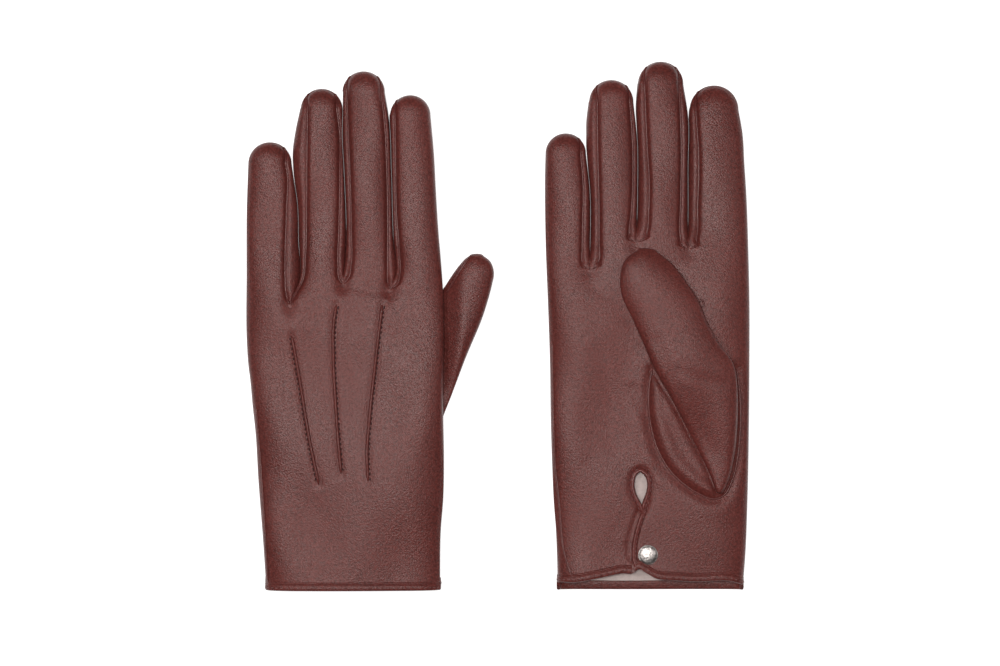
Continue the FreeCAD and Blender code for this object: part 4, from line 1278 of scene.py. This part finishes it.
def build_thumb(glove):
    """The leather of the thumb, the seam along the left one, and its lining."""
    side = glove.side
    left, right = edge_pair(side, 110)
    outline = np.vstack([left[:-1], right[::-1], left[:1]])
    t = cosine_steps(34)
    x = left[:, :1] + (right - left)[:, :1] * t
    y = left[:, 1:] + (right - left)[:, 1:] * t
    low, top = thumb_surface(glove, x, y, outline)
    names = split_thumb(x, y, side)
    patches = Patches()
    patches.grid(np.stack([x, y, top], axis=2), names)
    patches.grid(np.stack([x, y, low], axis=2), names, flip=True)
    points, faces, names, normals = patches.welded()
    points = placed(points, side)
    groups = {"root": [], "tip": []}
    for face, name in zip(faces, names):
        groups[name].append(face)
    if groups["root"]:
        made = mesh_object(f"{side}_thumb_root_leather", points, groups["root"], LEATHER, normals)
        ride_piece(made, f"{side}_glove", "leather", f"{side}_thumb_base")
    made = mesh_object(f"{side}_thumb_stall_leather", points, groups["tip"], LEATHER, normals)
    bend_thumb(made)
    finish_piece(made, "leather", f"{side}_thumb_leather")
    if side == "left":
        build_thumb_seam(glove, left, right, outline)
    build_thumb_lining(side, (left + right) / 2, x, y, low, top)


def build_thumb_seam(glove, left, right, outline):
    """The raised seam of the left thumb, near its edge on the hand's side."""
    side = glove.side
    line = (left + (right - left) * THUMB_SEAM_SHARE)[THUMB_SEAM_ROWS]
    _, height = thumb_surface(glove, line[:, 0], line[:, 1], outline)
    path = placed(np.column_stack([line, height + 0.05]), side)
    upward = np.tile([0.0, 0.0, 1.0], (len(path), 1))
    made = swept_piece(f"{side}_thumb_seam_bead", path, upward, round_profile(1.0, 0.45), SEAM,
                       taper=1.0)
    bend_thumb(made)
    finish_piece(made, "leather")


def build_thumb_lining(side, axis, x, y, low, top):
    """The lining of the stall, drawn in towards the thumb's axis and between its two skins."""
    x_in, y_in = (axis[:, None, k] + (at - axis[:, None, k]) * THUMB_LINING_WIDTH
                  for k, at in ((0, x), (1, y)))
    lining = Patches()
    middle = (low + top) / 2
    for skin, flip in ((top, False), (low, True)):
        z = middle + (skin - middle) * THUMB_LINING_DEPTH
        lining.grid(np.stack([x_in, y_in, z], axis=2)[THUMB_LINING_ROWS], "lining", flip=flip)
    points, faces, _, _ = lining.welded()
    made = mesh_object(f"{side}_thumb_knit_lining", placed(points, side), faces, LINING)
    bend_thumb(made)
    finish_piece(made, "lining", f"{side}_thumb_lining")


def bend_thumb(made):
    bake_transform(made)


def build_thumb_details(glove):
    """The oval seam that sets the thumb into the palm, and the leather between it and the thumb."""
    side = glove.side
    up = face_up(side, "palm")
    shift = (PALM_SHIFT[side], 0.0)
    path, normals = on_face(glove, up, THUMB_OVAL, 0.8, 0.1, shift)
    made = swept_piece(f"{side}_thumb_oval_seam", path, normals, round_profile(1.1, 0.5), SEAM,
                       taper=1.5)
    ride_piece(made, f"{side}_glove", "leather")
    if side == "left":
        return
    a = np.linspace(0, 2 * math.pi, 25)[:-1]
    loop = [(73.6 + 1.3 * math.cos(t), 135.4 + 1.7 * math.sin(t)) for t in a]
    path, normals = on_face(glove, up, loop, 0, 0.15, shift)
    made = swept_piece(f"{side}_quirk_loop", path, normals, round_profile(0.8, 0.4), SEAM,
                       closed=True)
    ride_piece(made, f"{side}_glove", "leather")
    outer = curve(THUMB_OVAL[:10], 0.9)
    inner = curve(CRESCENT_INNER, 0.9)
    at = np.linspace(0, 1, 70)
    outer = np.stack([np.interp(at, np.linspace(0, 1, len(outer)), outer[:, k]) for k in (0, 1)], 1)
    inner = np.stack([np.interp(at, np.linspace(0, 1, len(inner)), inner[:, k]) for k in (0, 1)], 1)
    t = cosine_steps(18)
    x = outer[:, :1] + (inner - outer)[:, :1] * t
    y = outer[:, 1:] + (inner - outer)[:, 1:] * t
    away = distance_to(outer, x, y)
    z = glove.heights(1, x, y) - 0.15 + 1.9 * dome(away / 7.0, 2.0)
    z = z - 0.6 * bell(distance_to(np.array([(54, 101), (56, 84), (64, 66), (76, 52)], float),
                                   x, y), 2.2)
    z = z - 1.5 * bell(distance_to(curve(THUMB[side][0][:6], 2.0), x, y), 1.8)
    patches = Patches()
    patches.grid(np.stack([x, y, z], axis=2), "gusset")
    points, faces, _, normals = patches.welded()
    made = mesh_object(f"{side}_thumb_gusset", placed(points, side), faces, LEATHER, normals)
    ride_piece(made, f"{side}_glove", "leather")


def build_side_welt(glove):
    """The inseam that closes the hand along the little finger's side."""
    side = glove.side
    path, normals = on_face(glove, 1, SIDE_WELT[side], 1.0, 0.05)
    made = swept_piece(f"{side}_side_seam_welt", path, normals, round_profile(1.1, 0.45), SEAM,
                       taper=2.0)
    ride_piece(made, f"{side}_glove", "leather")


for glove_side in SIDES:
    shell = build_shell(glove_side)
    build_lining(glove_side)
    build_seams(shell)
    build_points(shell)
    build_hem(shell)
    build_vent(shell)
    build_thumb(shell)
    build_thumb_details(shell)
    build_side_welt(shell)


# Floor, light and camera --------------------------------------------------------------------------
FLOOR_HALF = 4.0       # metres
FLOOR_GLOW = 0.80


def white_floor():
    material, tree, shader = node_tree("floor_white")
    speck = add_node(tree, "ShaderNodeTexNoise", Scale=3.0)
    tree.links.new(mixed(tree, speck.outputs["Fac"], (0.60, 0.60, 0.60), (0.64, 0.64, 0.64)),
                   shader.inputs["Base Color"])
    shader.inputs["Roughness"].default_value = 0.9
    shader.inputs["Specular IOR Level"].default_value = 0.0
    shader.inputs["Emission Color"].default_value = (1, 1, 1, 1)
    shader.inputs["Emission Strength"].default_value = FLOOR_GLOW
    size = FLOOR_HALF
    mesh = bpy.data.meshes.new("floor")
    mesh.from_pydata([(-size, -size, 0), (size, -size, 0), (size, size, 0), (-size, size, 0)],
                     [], [(0, 1, 2, 3)])
    mesh.materials.append(material)
    floor = bpy.data.objects.new("floor", mesh)
    floor.location.z = -0.0004
    bpy.context.scene.collection.objects.link(floor)


def area_light(name, location, size, power):
    light = bpy.data.lights.new(name, "AREA")
    light.shape, light.size, light.energy = "SQUARE", size, power
    lamp = bpy.data.objects.new(name, light)
    lamp.location = location
    direction = -np.array(location, float)
    lamp.rotation_mode = "QUATERNION"
    lamp.rotation_quaternion = Vector(direction).to_track_quat("-Z", "Y")
    bpy.context.scene.collection.objects.link(lamp)


def studio():
    white_floor()
    area_light("key_above", (-0.10, 0.06, 1.5), 0.34, 14.0)
    area_light("key_left", (-0.7, 0.25, 1.1), 0.35, 4.0)
    area_light("key_right", (0.8, 0.1, 1.0), 0.35, 2.0)
    world = bpy.data.worlds.new("studio")
    world.use_nodes = True
    background = world.node_tree.nodes["Background"]
    background.inputs["Color"].default_value = (1, 1, 1, 1)
    background.inputs["Strength"].default_value = 0.07
    bpy.context.scene.world = world
    bpy.context.scene.view_settings.view_transform = "Standard"


def camera():
    """Straight above the pair, as the gloves are seen laid out on a table."""
    wide, lens, sensor = 473.0, 100.0, 36.0
    data = bpy.data.cameras.new("camera")
    data.lens, data.sensor_width = lens, sensor
    data.clip_start, data.clip_end = 0.05, 20.0
    made = bpy.data.objects.new("camera", data)
    made.location = (0.95 * MM, -3.55 * MM, (8.0 + wide * lens / sensor) * MM)
    bpy.context.scene.collection.objects.link(made)
    bpy.context.scene.camera = made


studio()
camera()
